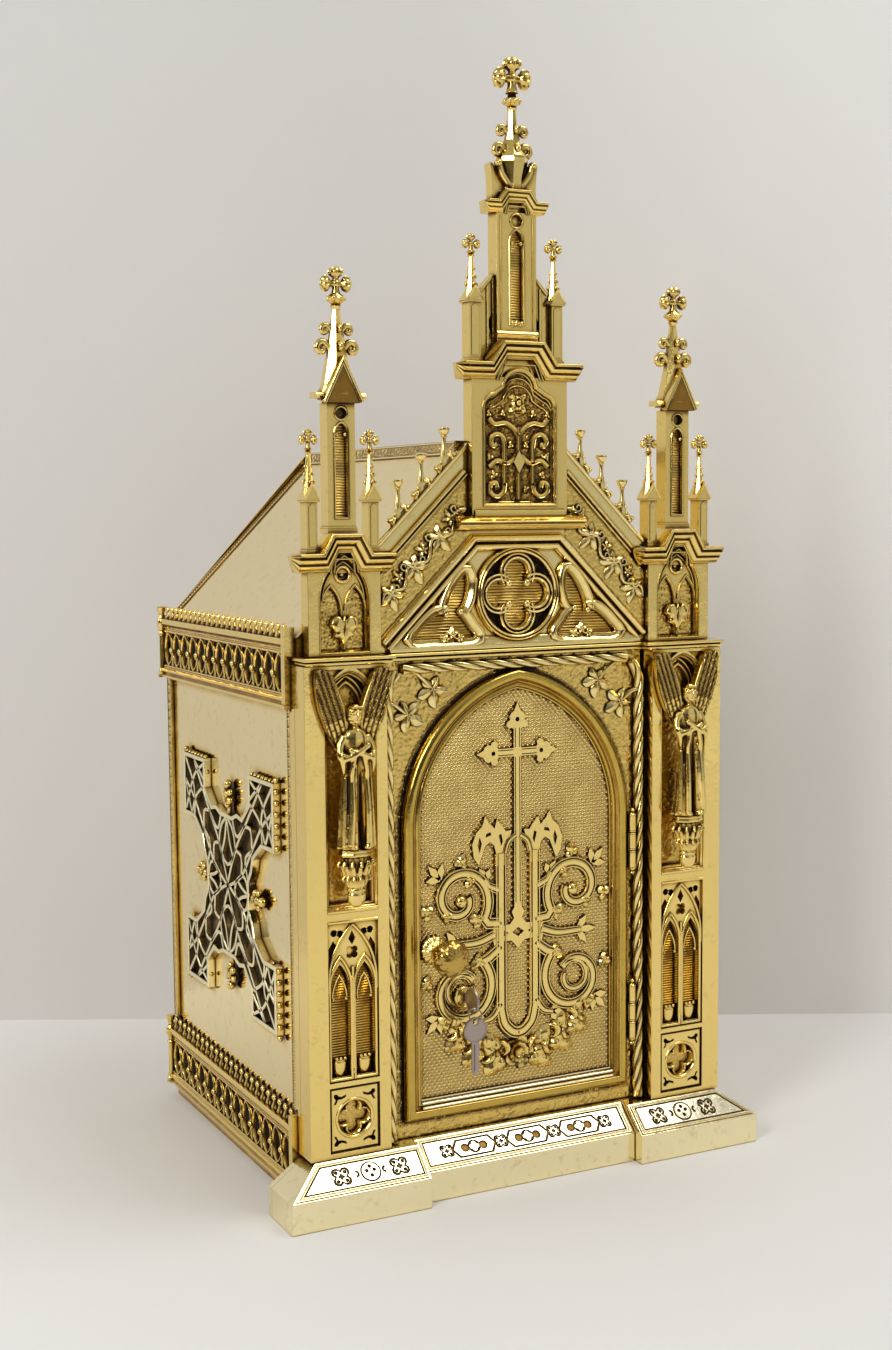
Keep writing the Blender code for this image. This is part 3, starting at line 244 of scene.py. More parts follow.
def tube(path, radius, sides=8):
    """A round bar along points in space; radius is one number or one for each point."""
    p = np.array(path, float)
    n = len(p)
    r = np.full(n, radius, float) if np.isscalar(radius) else np.array(radius, float)
    along = np.gradient(p, axis=0)
    along /= np.linalg.norm(along, axis=1)[:, None]
    side = np.cross(along[0], (0, 1, 0))
    if np.linalg.norm(side) < 0.1:
        side = np.cross(along[0], (1, 0, 0))
    loops = []
    for q, a, s in zip(p, along, r):
        side = side - a * np.dot(side, a)
        side /= np.linalg.norm(side)
        out = np.cross(side, a)
        loops.append([q + s * (side * cos(t) + out * sin(t))
            for t in np.linspace(0, 2 * pi, sides, endpoint=False)])
    verts, faces = rings(loops)
    return verts, [face[::-1] for face in faces]


def around(count, start=0):
    """Equal turns round a circle, in radians."""
    return [start + 2 * pi * k / count for k in range(count)]


def turned(x, y, profile, sides=24, flat=1, start=0):
    """A lathe shape about an upright axis from (radius, z) pairs."""
    return rings([[(x + r * cos(a), y + r * flat * sin(a), z) for a in around(sides, start)]
        for r, z in profile])


def turned_out(x, z, profile, sides=24, worked=lambda a, step: 0):
    """A lathe shape about an axis along y from (radius, y) pairs, from the back to the front; worked(angle,
    step) is added to the radius of each pair."""
    loops = []
    for step, (r, y) in enumerate(profile):
        reach = [(r + worked(a, step), a) for a in around(sides)]
        loops.append([(x + q * cos(a), y, z + q * sin(a)) for q, a in reach])
    return rings(loops)


def bead(x, y, z, r, tall=1, deep=1, sides=10):
    """A ball or, with tall and deep, an egg."""
    angles = np.linspace(-pi / 2, pi / 2, sides // 2 + 2)
    profile = [(max(r * cos(a), r * 0.04), z + r * tall * sin(a)) for a in angles]
    return turned(x, y, profile, sides, deep)


def block(x0, x1, y0, y1, z0, z1):
    return rings([[(x, y, z) for x, y in ((x0, y0), (x1, y0), (x1, y1), (x0, y1))] for z in (z0, z1)])


def prism(outline, y0, y1):
    """An outline, listed anticlockwise, run from y0 back to y1."""
    return rings([[(x, y, z) for x, z in outline] for y in (y1, y0)])


def flipped(solid):
    """The mirror image about x = 0."""
    verts = np.array(solid[0], float)
    verts[:, 0] *= -1
    return verts, [tuple(face[::-1]) for face in solid[1]]


def twin(solids):
    """Solids for the right and the same mirrored to the left."""
    return solids + [flipped(s) for s in solids]


def sideways(solid):
    """Turns work drawn from the front so that x runs into the case and its face looks towards +x."""
    x, y, z = np.array(solid[0], float).T
    return np.stack([-y, x, z], 1), solid[1]


def tipped(solid, foot_y, foot_z, slope):
    """Lays work drawn upright about z = 0 on a slope that rises backwards."""
    x, y, z = np.array(solid[0], float).T
    s, c = sin(slope), cos(slope)
    return np.stack([x, foot_y + z * c + y * s, foot_z + z * s - y * c], 1), solid[1]


def terraced(layers, back):
    """A plate with a flat back and a stepped front.  layers lists (outline, y) from the lowest to the one
    laid on last; y is the depth of that step, and None cuts right through."""
    points, loops = [], []
    for outline, _ in layers:
        loop = list(range(len(points), len(points) + len(outline)))
        area = sum(a[0] * b[1] - b[0] * a[1] for a, b in zip(outline, outline[1:] + outline[:1]))
        loops.append(loop if area > 0 else loop[::-1])
        points += [Vector(p) for p in outline]
    flat, _, tris, _, _, owners = delaunay_2d_cdt(points, [], loops, 1, 1e-6)
    level = {}
    for k, owner in enumerate(owners):
        y = layers[max(owner)][1] if owner else None
        if y is not None:
            level[k] = y
    heights, beside = {}, {}
    for k, y in level.items():
        for v, w in zip(tris[k], tris[k][1:] + tris[k][:1]):
            heights.setdefault(v, set()).add(y)
            beside.setdefault((min(v, w), max(v, w)), []).append((k, v, w))
    for uses in beside.values():
        if len(uses) == 1:
            heights[uses[0][1]].add(back)
            heights[uses[0][2]].add(back)
    verts, index = [], {}

    def vertex(v, y):
        if (v, y) not in index:
            index[v, y] = len(verts)
            verts.append((flat[v][0], y, flat[v][1]))
        return index[v, y]

    def climb(v, y0, y1):
        steps = sorted((y for y in heights[v] if min(y0, y1) <= y <= max(y0, y1)), reverse=y0 > y1)
        return [vertex(v, y) for y in steps]

    faces = [tuple(vertex(v, y) for v in tris[k]) for k, y in level.items()]
    for uses in beside.values():
        k, v, w = uses[0]
        near = level[k]
        far = back if len(uses) == 1 else level[uses[1][0]]
        if near != far:
            faces.append(tuple(climb(w, near, far) + climb(v, far, near)))
    faces += [tuple(vertex(v, back) for v in reversed(tris[k])) for k in level]
    return np.array(verts, float), faces


# ---- finishes ----
class Tone:
    """What a shader node gives out; a sum on it adds the node that works it out."""

    def __init__(self, tree, socket=None):
        self.tree, self.socket = tree, socket

    def node(self, kind, settings=None, sockets=None, out=0):
        made = self.tree.nodes.new("ShaderNode" + kind)
        for name, value in (settings or {}).items():
            if name == "stops":
                ramp = made.color_ramp
                while len(ramp.elements) < len(value):
                    ramp.elements.new(0.5)
                for stop, (place, colour) in zip(ramp.elements, value):
                    stop.position, stop.color = place, (*colour, 1)
            else:
                setattr(made, name, value)
        for key, value in (sockets or {}).items():
            if isinstance(value, Tone):
                self.tree.links.new(value.socket, made.inputs[key])
            else:
                made.inputs[key].default_value = value
        return Tone(self.tree, made.outputs[out]) if made.outputs else None

    def math(self, operation, *values):
        return self.node("Math", {"operation": operation}, dict(enumerate(values)))

    def __add__(self, other):
        return self.math("ADD", self, other)

    def __mul__(self, other):
        return self.math("MULTIPLY", self, other)

    def __sub__(self, other):
        return self.math("SUBTRACT", self, other)

    def __rsub__(self, other):
        return self.math("SUBTRACT", other, self)

    __radd__, __rmul__ = __add__, __mul__

    def ease(self, low, high, to_low=0, to_high=1):
        """Runs smoothly from to_low to to_high as the value goes from low to high."""
        span = {"Value": self, "From Min": low, "From Max": high, "To Min": to_low, "To Max": to_high}
        return self.node("MapRange", {"interpolation_type": "SMOOTHSTEP"}, span)

    def blend(self, a, b):
        """The colour a where the value is 0, and b where it is 1."""
        return self.node("Mix", {"data_type": "RGBA"}, {0: self, 6: a, 7: b}, 2)

    def grain(self, where, scale, detail=2, rough=0.5):
        return self.node("TexNoise", {},
            {"Vector": where, "Scale": scale, "Detail": detail, "Roughness": rough})

    def ramp(self, stops):
        return self.node("ValToRGB", {"stops": stops}, {0: self})


def new_material(name):
    """An empty material, its tree and the coordinates of the object that carries it."""
    material = bpy.data.materials.new(name)
    material.use_nodes = True
    material.node_tree.nodes.clear()
    tree = Tone(material.node_tree)
    where = tree.node("TexCoord", out=3)
    return material, tree, where


def finish_off(tree, base, rough, metallic, height, depth):
    """The shader: a base, and a relief that is depth millimetres deep."""
    normal = tree.node("Bump", {}, {"Strength": 1, "Distance": depth * MM, "Height": height})
    sockets = {"Base Color": base, "Roughness": rough, "Metallic": metallic, "Normal": normal}
    shader = tree.node("BsdfPrincipled", {}, sockets)
    tree.node("OutputMaterial", {}, {"Surface": shader})


# Stops of the brass colour ramp from near black to pale gold; the dark end colours the hollows, as patina
# and as painted shade.
DEEP = (0.014, 0.007, 0.003)
BROWN = (0.085, 0.036, 0.009)
AMBER = (0.38, 0.21, 0.042)
GOLD = (0.77, 0.55, 0.14)
PALE = (0.92, 0.70, 0.24)
WHITE_GOLD = (0.95, 0.80, 0.44)


def brass(name, darkening=0.5, rough=0.2, wave=0, pits=0.10, hollow=9, gain=1, top=PALE):
    """Brass whose colour follows how enclosed each point is: its hollows go dark, partly as patina and
    partly as painted shade where little light gets in, and it is rubbed pale on what stands proud.  hollow
    is how far round a point its hollowness is felt, gain how quickly the patina and the painted shade set
    in, and darkening how dark the whole finish is."""
    material, tree, where = new_material(name)
    open_sky = tree.node("AmbientOcclusion", {"samples": 8}, {"Distance": hollow * MM}, out=1)
    cloud = tree.grain(where, 42, 3)
    fine = tree.grain(where, 420, 3, 0.6)
    streak = tree.grain(where, 130, 4, 0.65)
    # The base colour follows the occlusion: deep hollows go dark brown to black, which is patina and painted
    # shade together.
    sky = (open_sky - 1) * gain * (cloud + 0.5) + (streak - 0.5) * 0.12 + (1.14 - darkening * 0.3)
    base = sky.ramp([(0.18, DEEP), (0.38, BROWN), (0.58, AMBER), (0.80, GOLD), (1, top)])
    tarnish = streak.ease(0.54, 0.72) * 0.3
    base = tarnish.blend(base, (0.50, 0.33, 0.10, 1))
    grime = sky.ease(0.55, 0.2)
    roughness = grime * 0.4 + cloud * 0.12 + fine * 0.08 + (rough - 0.1)
    metallic = 1 - grime * 0.6
    height = fine * pits + streak * pits * 1.5 + cloud * wave
    finish_off(tree, base, roughness, metallic, height, 0.5)
    return material


def steel(name):
    material, tree, where = new_material(name)
    open_sky = tree.node("AmbientOcclusion", {"samples": 8}, {"Distance": 3 * MM}, out=1)
    cloud = tree.grain(where, 160, 4, 0.6)
    fine = tree.grain(where, 900, 2)
    # Darker where the occlusion is deep: oxide in the recesses of the keys together with painted shade.
    sky = open_sky + (cloud - 0.5) * 0.4
    base = sky.ramp([(0.3, (0.07, 0.045, 0.03)), (0.65, (0.24, 0.18, 0.15)), (0.95, (0.42, 0.35, 0.31))])
    finish_off(tree, base, cloud * 0.25 + 0.22, 1 - sky.ease(0.5, 0.2) * 0.5, fine * 0.3 + cloud * 0.3, 0.2)
    return material


def plain(name, colour, rough):
    """A matt surface for the floor and the wall behind."""
    material, tree, where = new_material(name)
    cloud = tree.grain(where, 3, 3)
    shade = tuple(c * 0.94 for c in colour)
    finish_off(tree, cloud.blend((*colour, 1), (*shade, 1)), cloud * 0.1 + rough, 0, cloud, 0.1)
    return material


CAST = brass("cast_brass", 0.5, 0.15, wave=0.9, hollow=4.6, gain=1.2)
POLISHED = brass("polished_mouldings", 0.5, 0.13, wave=0.6, hollow=3, gain=1.1, top=(0.95, 0.78, 0.34))
GROUND = brass("punched_brass_ground", 0.9, 0.26, pits=0.2, hollow=2.2, gain=1.8)
HATCHED = brass("hatched_ground", 0.85, 0.34, pits=0.2, hollow=1.8, gain=1.6)
NICHE = brass("niche_ground", 1.3, 0.26, pits=0.3, hollow=4, gain=1.2)
KNURLED = brass("knurled_brass", 0.1, 0.2, pits=0.05, hollow=2.6, gain=1.7, top=WHITE_GOLD)
STRAPS = brass("chased_brass", 0.36, 0.16, wave=0.5, hollow=3.4, gain=1.6)
SHEET = brass("sheet_brass", 0.42, 0.10, wave=0.9, pits=0.012, top=WHITE_GOLD)
ENGRAVED = brass("engraved_brass", 0.25, 0.15, wave=0.5, hollow=2, gain=1.5, top=(0.97, 0.88, 0.62))
# Dark grounds behind openings and in recesses: patina, and painted shade where those openings and recesses
# lie in shade.
DARK = brass("dark_patina_and_painted_shade", 1.9, 0.4, pits=0.3, hollow=12, gain=1.6)
CARVED = brass("carved_brass", 0.46, 0.14, hollow=6, gain=1.5)
ROPE = brass("rope_and_leaves", 0.3, 0.22, hollow=4.4, gain=2.1, top=(0.93, 0.78, 0.36))
KNOB = brass("embossed_knob", 1.5, 0.24, pits=0.3, hollow=4, gain=2.6, top=(0.60, 0.40, 0.08))
# Its dark amber top colour is painted shade: it stands for the deep gold that the door frame's mouldings
# take from reflections between them.
FRAME = brass("door_frame_brass", 0.75, 0.17, wave=1.2, hollow=4, gain=1.2, top=(0.44, 0.30, 0.04))
RUBBED = brass("rubbed_brass", 0.2, 0.16, wave=1, hollow=2, gain=0.8, top=(0.97, 0.87, 0.55))
WINGS = brass("dull_feathers", 0.7, 0.24, pits=0.1, hollow=2.6, gain=1.7)
STEEL = steel("key_steel")
SLOTS = {SHEET.name: "brass_polished", STEEL.name: "steel"}


# ---- pieces ----
def in_scene(name, data):
    """A new object in the scene."""
    made = bpy.data.objects.new(name, data)
    bpy.context.scene.collection.objects.link(made)
    return made


def make(name, solids, finish=CAST, body="case", replaces=(), corner=35, bevel=0, voxel=0, sheet=False):
    """One piece from solids in millimetres.  bevel rounds its arrises, and voxel fuses the solids into one
    skin of that fineness; corner is the angle, in degrees, from which an edge stays crisp.  A sheet isn't
    closed."""
    verts, faces, count = [], [], 0
    for points, polygons in solids if isinstance(solids, list) else [solids]:
        verts.append(np.asarray(points, float))
        faces += [tuple(v + count for v in face) for face in polygons]
        count += len(points)
    metres = np.concatenate(verts) * MM + (0, PIER_FACE_Y, 0)
    mesh = bpy.data.meshes.new(name)
    mesh.from_pydata(metres.tolist(), [], faces)
    if not sheet:
        face_out(mesh)
    piece = in_scene(name, mesh)
    if voxel:
        fuse = piece.modifiers.new("fuse", "REMESH")
        fuse.mode, fuse.voxel_size = "VOXEL", voxel * MM
        calm = piece.modifiers.new("calm", "SMOOTH")
        calm.factor, calm.iterations = 0.5, 2
    if bevel:
        soften(piece, bevel)
    mesh.shade_smooth()
    if piece.modifiers:
        shape = bpy.data.meshes.new_from_object(piece.evaluated_get(bpy.context.evaluated_depsgraph_get()))
        piece.modifiers.clear()
        piece.data = shape
        shape.name = name
        shape.shade_smooth()
    if not bevel:
        piece.data.set_sharp_from_angle(angle=radians(corner))
    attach(piece, body)
    finished(piece, finish)
    if replaces:
        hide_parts(*replaces)
    return piece


def finished(piece, finish):
    """Gives a piece its finish."""
    piece.data.materials.clear()
    piece.data.materials.append(finish)
    SLOTS.get(finish.name, "brass_antique")


def face_out(mesh):
    """Turns every face of closed solids outwards."""
    form = bmesh.new()
    form.from_mesh(mesh)
    bmesh.ops.recalc_face_normals(form, faces=form.faces)
    form.to_mesh(mesh)
    form.free()


def soften(piece, width, segments=1):
    """Rounds the sharp arrises of a piece."""
    round_off = piece.modifiers.new("soft_arris", "BEVEL")
    round_off.width, round_off.segments = width * MM, segments
    round_off.limit_method, round_off.angle_limit = "ANGLE", radians(38)
    round_off.use_clamp_overlap = False
    round_off.harden_normals = True


def both(name, solids, **how):
    """The same piece on the right and, mirrored, on the left; its nodes are given without their side."""
    solids = solids if isinstance(solids, list) else [solids]
    nodes = how.pop("replaces", ())
    make(name + "_right", solids, replaces=[node + "_right" for node in nodes], **how)
    make(name + "_left", [flipped(s) for s in solids], replaces=[node + "_left" for node in nodes], **how)


def keep_node(name, finish, bevel):
    """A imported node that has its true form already: it gets its finish and softened arrises."""
    piece = frame["nodes"][name]
    finished(piece, finish)
    piece.data.shade_smooth()
    soften(piece, bevel, 2)


# ---- cast forms ----
def leaf(cx, cz, size, turn, y, lobes=5, rise=3, stretch=1, sides=60, deep=0.42):
    """A lobed, ribbed leaf lying on the plane y; turn, in degrees, is where its tip points."""
    verts, levels = [(cx, y - rise * 0.55, cz)], (0.25, 0.5, 0.72, 0.9, 1)
    lean = radians(turn)
    for level in levels:
        for a in around(sides):
            lobe = 0.7 * abs(cos(lobes * a / 2)) ** 0.8 + 0.3 * (1 - abs(sin(lobes * a / 2)) ** 0.8)
            reach = size * (1 - deep * (1 - lobe)) * (0.86 + 0.14 * cos(a))
            rib = lobe ** 6
            swell = sin(pi * min(level * 1.05, 1)) * (0.55 + 0.45 * lobe) + 0.35 * rib * level
            dx, dz = reach * level * cos(a) * stretch, reach * level * sin(a)
            verts.append((cx + dx * cos(lean) - dz * sin(lean),
                y - rise * (0.45 * (1 - level) + swell * 0.6) - 0.3, cz + dx * sin(lean) + dz * cos(lean)))
    verts += [(x, y + 0.2, z) for x, _, z in verts[-sides:]]
    faces = [(0, 1 + (k + 1) % sides, 1 + k) for k in range(sides)]
    for row in range(len(levels)):
        a, b = 1 + row * sides, 1 + (row + 1) * sides
        faces += [(a + k, a + (k + 1) % sides, b + (k + 1) % sides, b + k) for k in range(sides)]
    faces.append(tuple(range(len(verts) - sides, len(verts))))
    return np.array(verts), faces


def rose(cx, cz, size, y, rise):
    """A rose of overlapping rings of petals round a bud, lying on the plane y."""
    petals, turns, steps = 5, 3, 18
    loops = []
    for i in range(steps, -1, -1):
        level = max(i / steps, 0.02)
        loop = []
        for a in around(60):
            height = 0
            for ring in range(turns):
                edge = (1 - ring / turns) * (0.86 + 0.14 * abs(cos(petals * (a + ring * 0.6) / 2)))
                if level <= edge + 1e-6:
                    height = rise * ((ring + 1) / turns * 0.75 + 0.3 * (level / edge) ** 3)
            bound = size * (0.86 + 0.14 * abs(cos(petals * a / 2)))
            loop.append((cx + bound * level * cos(a), y - height, cz + bound * level * sin(a)))
        loops.append(loop)
    base = [[(x, y + 0.2, z) for x, _, z in loops[0]]]
    return rings(base + loops)


def torus(centre, big, small, axis, steps=36):
    """A ring of round wire about an axis."""
    pole = Vector(axis).normalized()
    first = pole.orthogonal().normalized()
    second = pole.cross(first)
    loops = []
    for a in around(steps):
        out = first * cos(a) + second * sin(a)
        loops.append([tuple(Vector(centre) + out * (big + small * cos(b)) + pole * small * sin(b))
            for b in around(8)])
    return rings(loops, True)


def field(outline, y, step, height):
    """A worked ground inside an outline: a fine sheet whose relief is height(x, z), standing out from y."""
    xs, zs = [p[0] for p in outline], [p[1] for p in outline]
    u = np.arange(floor(min(xs) / step[0]), ceil(max(xs) / step[0]) + 1) * step[0]
    v = np.arange(floor(min(zs) / step[1]), ceil(max(zs) / step[1]) + 1) * step[1]
    x, z = np.meshgrid(u, v)
    hit = inside(outline, x[:-1, :-1] + step[0] / 2, z[:-1, :-1] + step[1] / 2)
    wide = x.shape[1]
    row, column = np.nonzero(hit)
    corner = row * wide + column
    faces = np.stack([corner, corner + 1, corner + wide + 1, corner + wide], 1)
    used, faces = np.unique(faces, return_inverse=True)
    points = np.stack([x, y - height(x, z), z], 2).reshape(-1, 3)[used]
    return points, faces.reshape(-1, 4).tolist()


def knurls(pitch_x, pitch_z, depth):
    """Staggered rows of beads."""
    def height(x, z):
        wave = np.cos(2 * np.pi * x / pitch_x) * np.cos(2 * np.pi * z / (2 * pitch_z))
        return depth * np.clip(0.36 + 0.95 * wave, 0, 1)
    return height


def stipple(depth, seed=1):
    """Punch marks scattered close together."""
    def height(x, z):
        mark = np.random.default_rng(seed).random(x.shape)
        soft = (mark + np.roll(mark, 1, 0) + np.roll(mark, 1, 1)) / 3
        return depth * (0.55 * mark + 0.45 * soft)
    return height


def hatch(pitch, depth):
    """Close level cuts."""
    return lambda x, z: depth * (0.5 + 0.5 * np.cos(2 * np.pi * z / pitch))


# ---- door ----
DOOR = Extent("door")
BAY = Extent("front_plate").y0
DOOR_GROUND = BAY - 1.5      # knurled ground of the door
STRAP_FACE = DOOR_GROUND - 2.6
DOOR_HALF, DOOR_FOOT, DOOR_APEX = DOOR.x1, DOOR.z0, DOOR.z1
DOOR_SPRING = DOOR_FOOT + 238
FRAME_WIDTH = 16.5


def door_outline(inset):
    """The edge of the door, drawn in by inset."""
    return lancet(0, DOOR_HALF - inset, DOOR_FOOT + inset, DOOR_SPRING, DOOR_APEX - inset * 0.85, 24)


def door_moulding():
    """Round the door, from its inner edge outwards: slope, small roll, hollow and a broad outer roll."""
    hollow = [(12 - 3.8 * t, 5.6 - 1.9 * sin(pi * t) + 1.6 * t) for t in np.linspace(0, 1, 7)]
    section = [(FRAME_WIDTH, -0.5), (FRAME_WIDTH, 2), (16.1, 3), (15.2, 3.2), (14.8, 2.6), (14.5, 4.6),
        (14, 5.8), (13.2, 6.2), (12.5, 5.9)] + hollow
    section += [(7.8, 8), (6.9, 8.6), (5.6, 8.9), (4.2, 8.8), (2.9, 8.3), (1.8, 7.5), (0.9, 6.4), (0.3, 5),
        (0, 3.6), (0, -0.2)]
    return sweep(door_outline(0), section, BAY - 0.3, closed=True)


STRAP = even((5, 0), (5, 2.3), (4.6, 3.2), (3.8, 3.3), (3.3, 2.2), (2.8, 2.2), (2.3, 3.1), (1.2, 3.4))


def strap(path, start=1, end=1):
    """A flat strap with an incised line along each edge, standing on the ground of the door."""
    size = np.linspace(start, end, len(path))
    verts, faces = sweep(path, STRAP, 0, swell=size)
    step = np.repeat(size, len(STRAP))
    verts[:, 1] = DOOR_GROUND + verts[:, 1] / step
    return verts, faces


def knop(x, z, turn, size):
    """Three pointed leaves that end a strap."""
    out = []
    for step, length in ((-52, 0.8), (0, 1), (52, 0.8)):
        a = radians(turn + step)
        dx, dz = cos(a), sin(a)
        reach = size * length
        edge = [(x + dx * u - dz * v, z + dz * u + dx * v)
            for u, v in ((0, -1.6), (reach * 0.55, -3), (reach, 0), (reach * 0.55, 3), (0, 1.6))]
        out.append(terraced([(edge, STRAP_FACE + 0.1)], DOOR_GROUND + 0.4))
    return out


def door_cross():
    """The long cross: three leaf-shaped ends with a small hole, lines incised along the arms, and a shaft
    that runs down between the uprights to a pierced band."""
    cz, half = 355, 3.4
    end = [(half, 19), (5.2, 20.4), (7.8, 19.6), (10.2, 22.4), (9.2, 25.4), (6.6, 26.6), (7.4, 29.6),
        (5.4, 32.6), (3, 34), (1.4, 37.6), (0, 41)]
    tip = [(half, half)] + end + [(-x, z) for x, z in reversed(end[:-1])] + [(-half, half)]
    top = [(x, cz + z) for x, z in tip]
    left = [(-z * 0.93, cz + x) for x, z in tip[1:]]
    right = [(z * 0.93, cz - x) for x, z in tip[:-1]]
    foot = [(half, 226), (6, 222), (3.6, 217), (7.5, 212), (19, 211), (22.5, 215), (24.5, 205), (22.5, 195),
        (19, 199), (6, 198), (0, 191)]
    outline = top + left + [(-x, z) for x, z in foot] + foot[::-1][1:] + right
    layers = [(outline, STRAP_FACE - 0.2)]
    cut = STRAP_FACE + 0.9
    for s in (-1, 1):
        layers.append((rect(s * 2 - 0.4, s * 2 + 0.4, 230, cz - 4), cut))
        layers.append((rect(s * 2 - 0.4, s * 2 + 0.4, cz + 4, cz + 20), cut))
        for a, b in ((4, 18), (-18, -4)):
            layers.append((rect(a, b, cz + s * 2 - 0.4, cz + s * 2 + 0.4), cut))
        layers.append((circle(s * 22.5, cz, 1.9, 12), None))
        layers.append(([(s * 9, 205), (s * 13, 202.6), (s * 17, 205), (s * 13, 207.4)], None))
    layers.append((circle(0, cz + 27, 2, 12), None))
    layers.append(([(-5.5, 205), (0, 201), (5.5, 205), (0, 209)], None))
    return terraced(layers, DOOR_GROUND + 0.4)


def crest():
    """The leafy head of an upright, with a slot in its drooping leaf."""
    edge = [(11.7, 262), (11.7, 279), (7.4, 285), (5.8, 290.6), (11.2, 290), (15.4, 296), (19.6, 300.4),
        (21.6, 293), (27, 298.4), (30.4, 304), (33, 296), (38.6, 291), (42.4, 281.6), (41, 270.6),
        (36.4, 264), (33.8, 271), (30.4, 279.6), (26, 282.4), (22, 279), (20.3, 272), (20.3, 262)]
    slots = [[(35.6, 274), (37.6, 281), (35.4, 287.4), (33.6, 281.6)],
        [(14, 282), (15.6, 278), (18, 287), (15.4, 288.6)],
        [(24.6, 288), (30.4, 286.4), (29.6, 289.4), (25.6, 290.6)]]
    return terraced([(edge, STRAP_FACE - 0.1)] + [(slot, STRAP_FACE + 1.8) for slot in slots],
        DOOR_GROUND + 0.4)


def door_scrolls():
    """The right half of the strapwork: an upright under its crest, and the scrolls that spring from it."""
    upright = [(16, 272), (16, 250), (16, 200), (16, 160)]
    upright += curve([(16, 141), (13, 129), (6, 121.5), (-0.5, 119.5)], 8)
    upper = curve([(16, 214), (28, 215)], 4) + spiral(54, 237, 28.5, 8, 218, -190, 60, 0.9)
    lower = curve([(16, 194), (27, 186)], 4) + spiral(53, 161, 30.5, 13, 132, 500, 60, 0.9)
    bud = curve([(22, 205), (38, 200), (60, 200)], 6)
    inner = curve([(18, 242), (27, 246), (31, 252)], 6)
    yoke = curve([(12, 272), (9, 281), (2, 286)], 6)
    eye = spiral(53, 161, 15, 9, 140, -200, 30)
    foot = curve([(16, 146), (24, 136), (33, 133)], 6)
    solids = [strap(upright), strap(upper, 1, 0.85), strap(lower, 1, 0.8), strap(bud, 0.9, 0.7),
        strap(inner, 0.8, 0.5), strap(foot, 0.8, 0.5), strap(yoke, 0.5, 0.5), strap(eye, 0.6, 0.6), crest(),
        bead(52.5, STRAP_FACE + 0.8, 235.5, 5, 1, 0.8, 16)]
    solids += knop(72, 256, 48, 16) + knop(73.5, 141, -45, 16) + knop(57, 200, 0, 19)
    solids += knop(30, 251, 60, 12) + knop(32, 133.5, -10, 12)
    solids += [leaf(x, z, size, turn, STRAP_FACE + 1.2, 3, 3, sides=36, deep=0.5)
        for x, z, size, turn in ((37, 218, 9, 30), (36, 184, 9, 330), (83, 229, 8.5, 20),
        (84, 171, 8.5, 340), (52, 267, 8.5, 110), (44, 252, 7, 300), (66, 224, 7, 150))]
    return solids


def door_garland():
    """A rose between fruit and leaves."""
    y = DOOR_GROUND
    solids = [rose(0, 103, 14.5, y, 6.4)]
    for s in (-1, 1):
        for x, z, size, turn in ((20, 97, 13, 320), (24, 111, 12, 60), (40, 107, 12.5, 330),
                (41, 122, 11.5, 80), (56, 119, 11.5, 340), (57, 133, 11, 70), (67, 137, 9.5, 30)):
            solids.append(leaf(s * x, z, size, turn if s > 0 else 180 - turn, y, 3, 5, 1.1, 40, 0.34))
        for x, z, r, turn in ((16, 107, 6, 150), (31, 104.5, 6.2, 200), (32.5, 116, 5.6, 20),
                (48, 114.5, 6, 200), (50, 127, 5.2, 30), (63, 127.5, 5.2, 210)):
            turn = turn if s > 0 else 180 - turn
            bend = arc(s * x, z, r, turn - 100, turn + 100, 14)
            fat = [0.25 + 0.85 * sin(pi * k / 14) for k in range(15)]
            solids.append(sweep(bend, ((2.9, -1), (2.6, 3), (1.2, 4.9), (-0.8, 5), (-2.4, 3), (-2.9, -1)),
                y, swell=fat))
    return solids


def door():
    """The door casting: leaf and moulding, knurled ground, strapwork and garland."""
    slab = prism(door_outline(0.4), BAY - 1.4, BAY - 0.3)
    inner = prism(door_outline(9.3), BAY - 0.6, DOOR.y1)
    make("door_leaf", [slab, inner, door_moulding()], FRAME, "door", ["door"], 42)
    knurled = field(door_outline(15.4), DOOR_GROUND + 0.4, (4.4 / 6, 0.86), knurls(4.4, 2.58, 1.35))
    make("door_knurled_ground", knurled, KNURLED, "door", sheet=True)
    rolls = [(16.2, 1), (16.2, 3.4), (15.4, 3.8), (14.9, 3.2), (14.6, 5), (14, 6.3), (13.2, 6.8),
        (12.4, 6.4), (12, 4.8), (11.5, 4.8), (11.1, 6.6), (10.3, 7.6), (9.3, 7.7), (8.5, 7.2), (8.1, 1)]
    reach = DOOR_HALF - 15
    make("door_foot_rolls", sweep([(-reach, DOOR_FOOT), (reach, DOOR_FOOT)], rolls, BAY - 0.3), RUBBED,
        "door")
    make("door_strapwork", [door_cross()] + twin(door_scrolls()), STRAPS, "door", corner=40)
    make("door_garland", door_garland(), STRAPS, "door", corner=50)


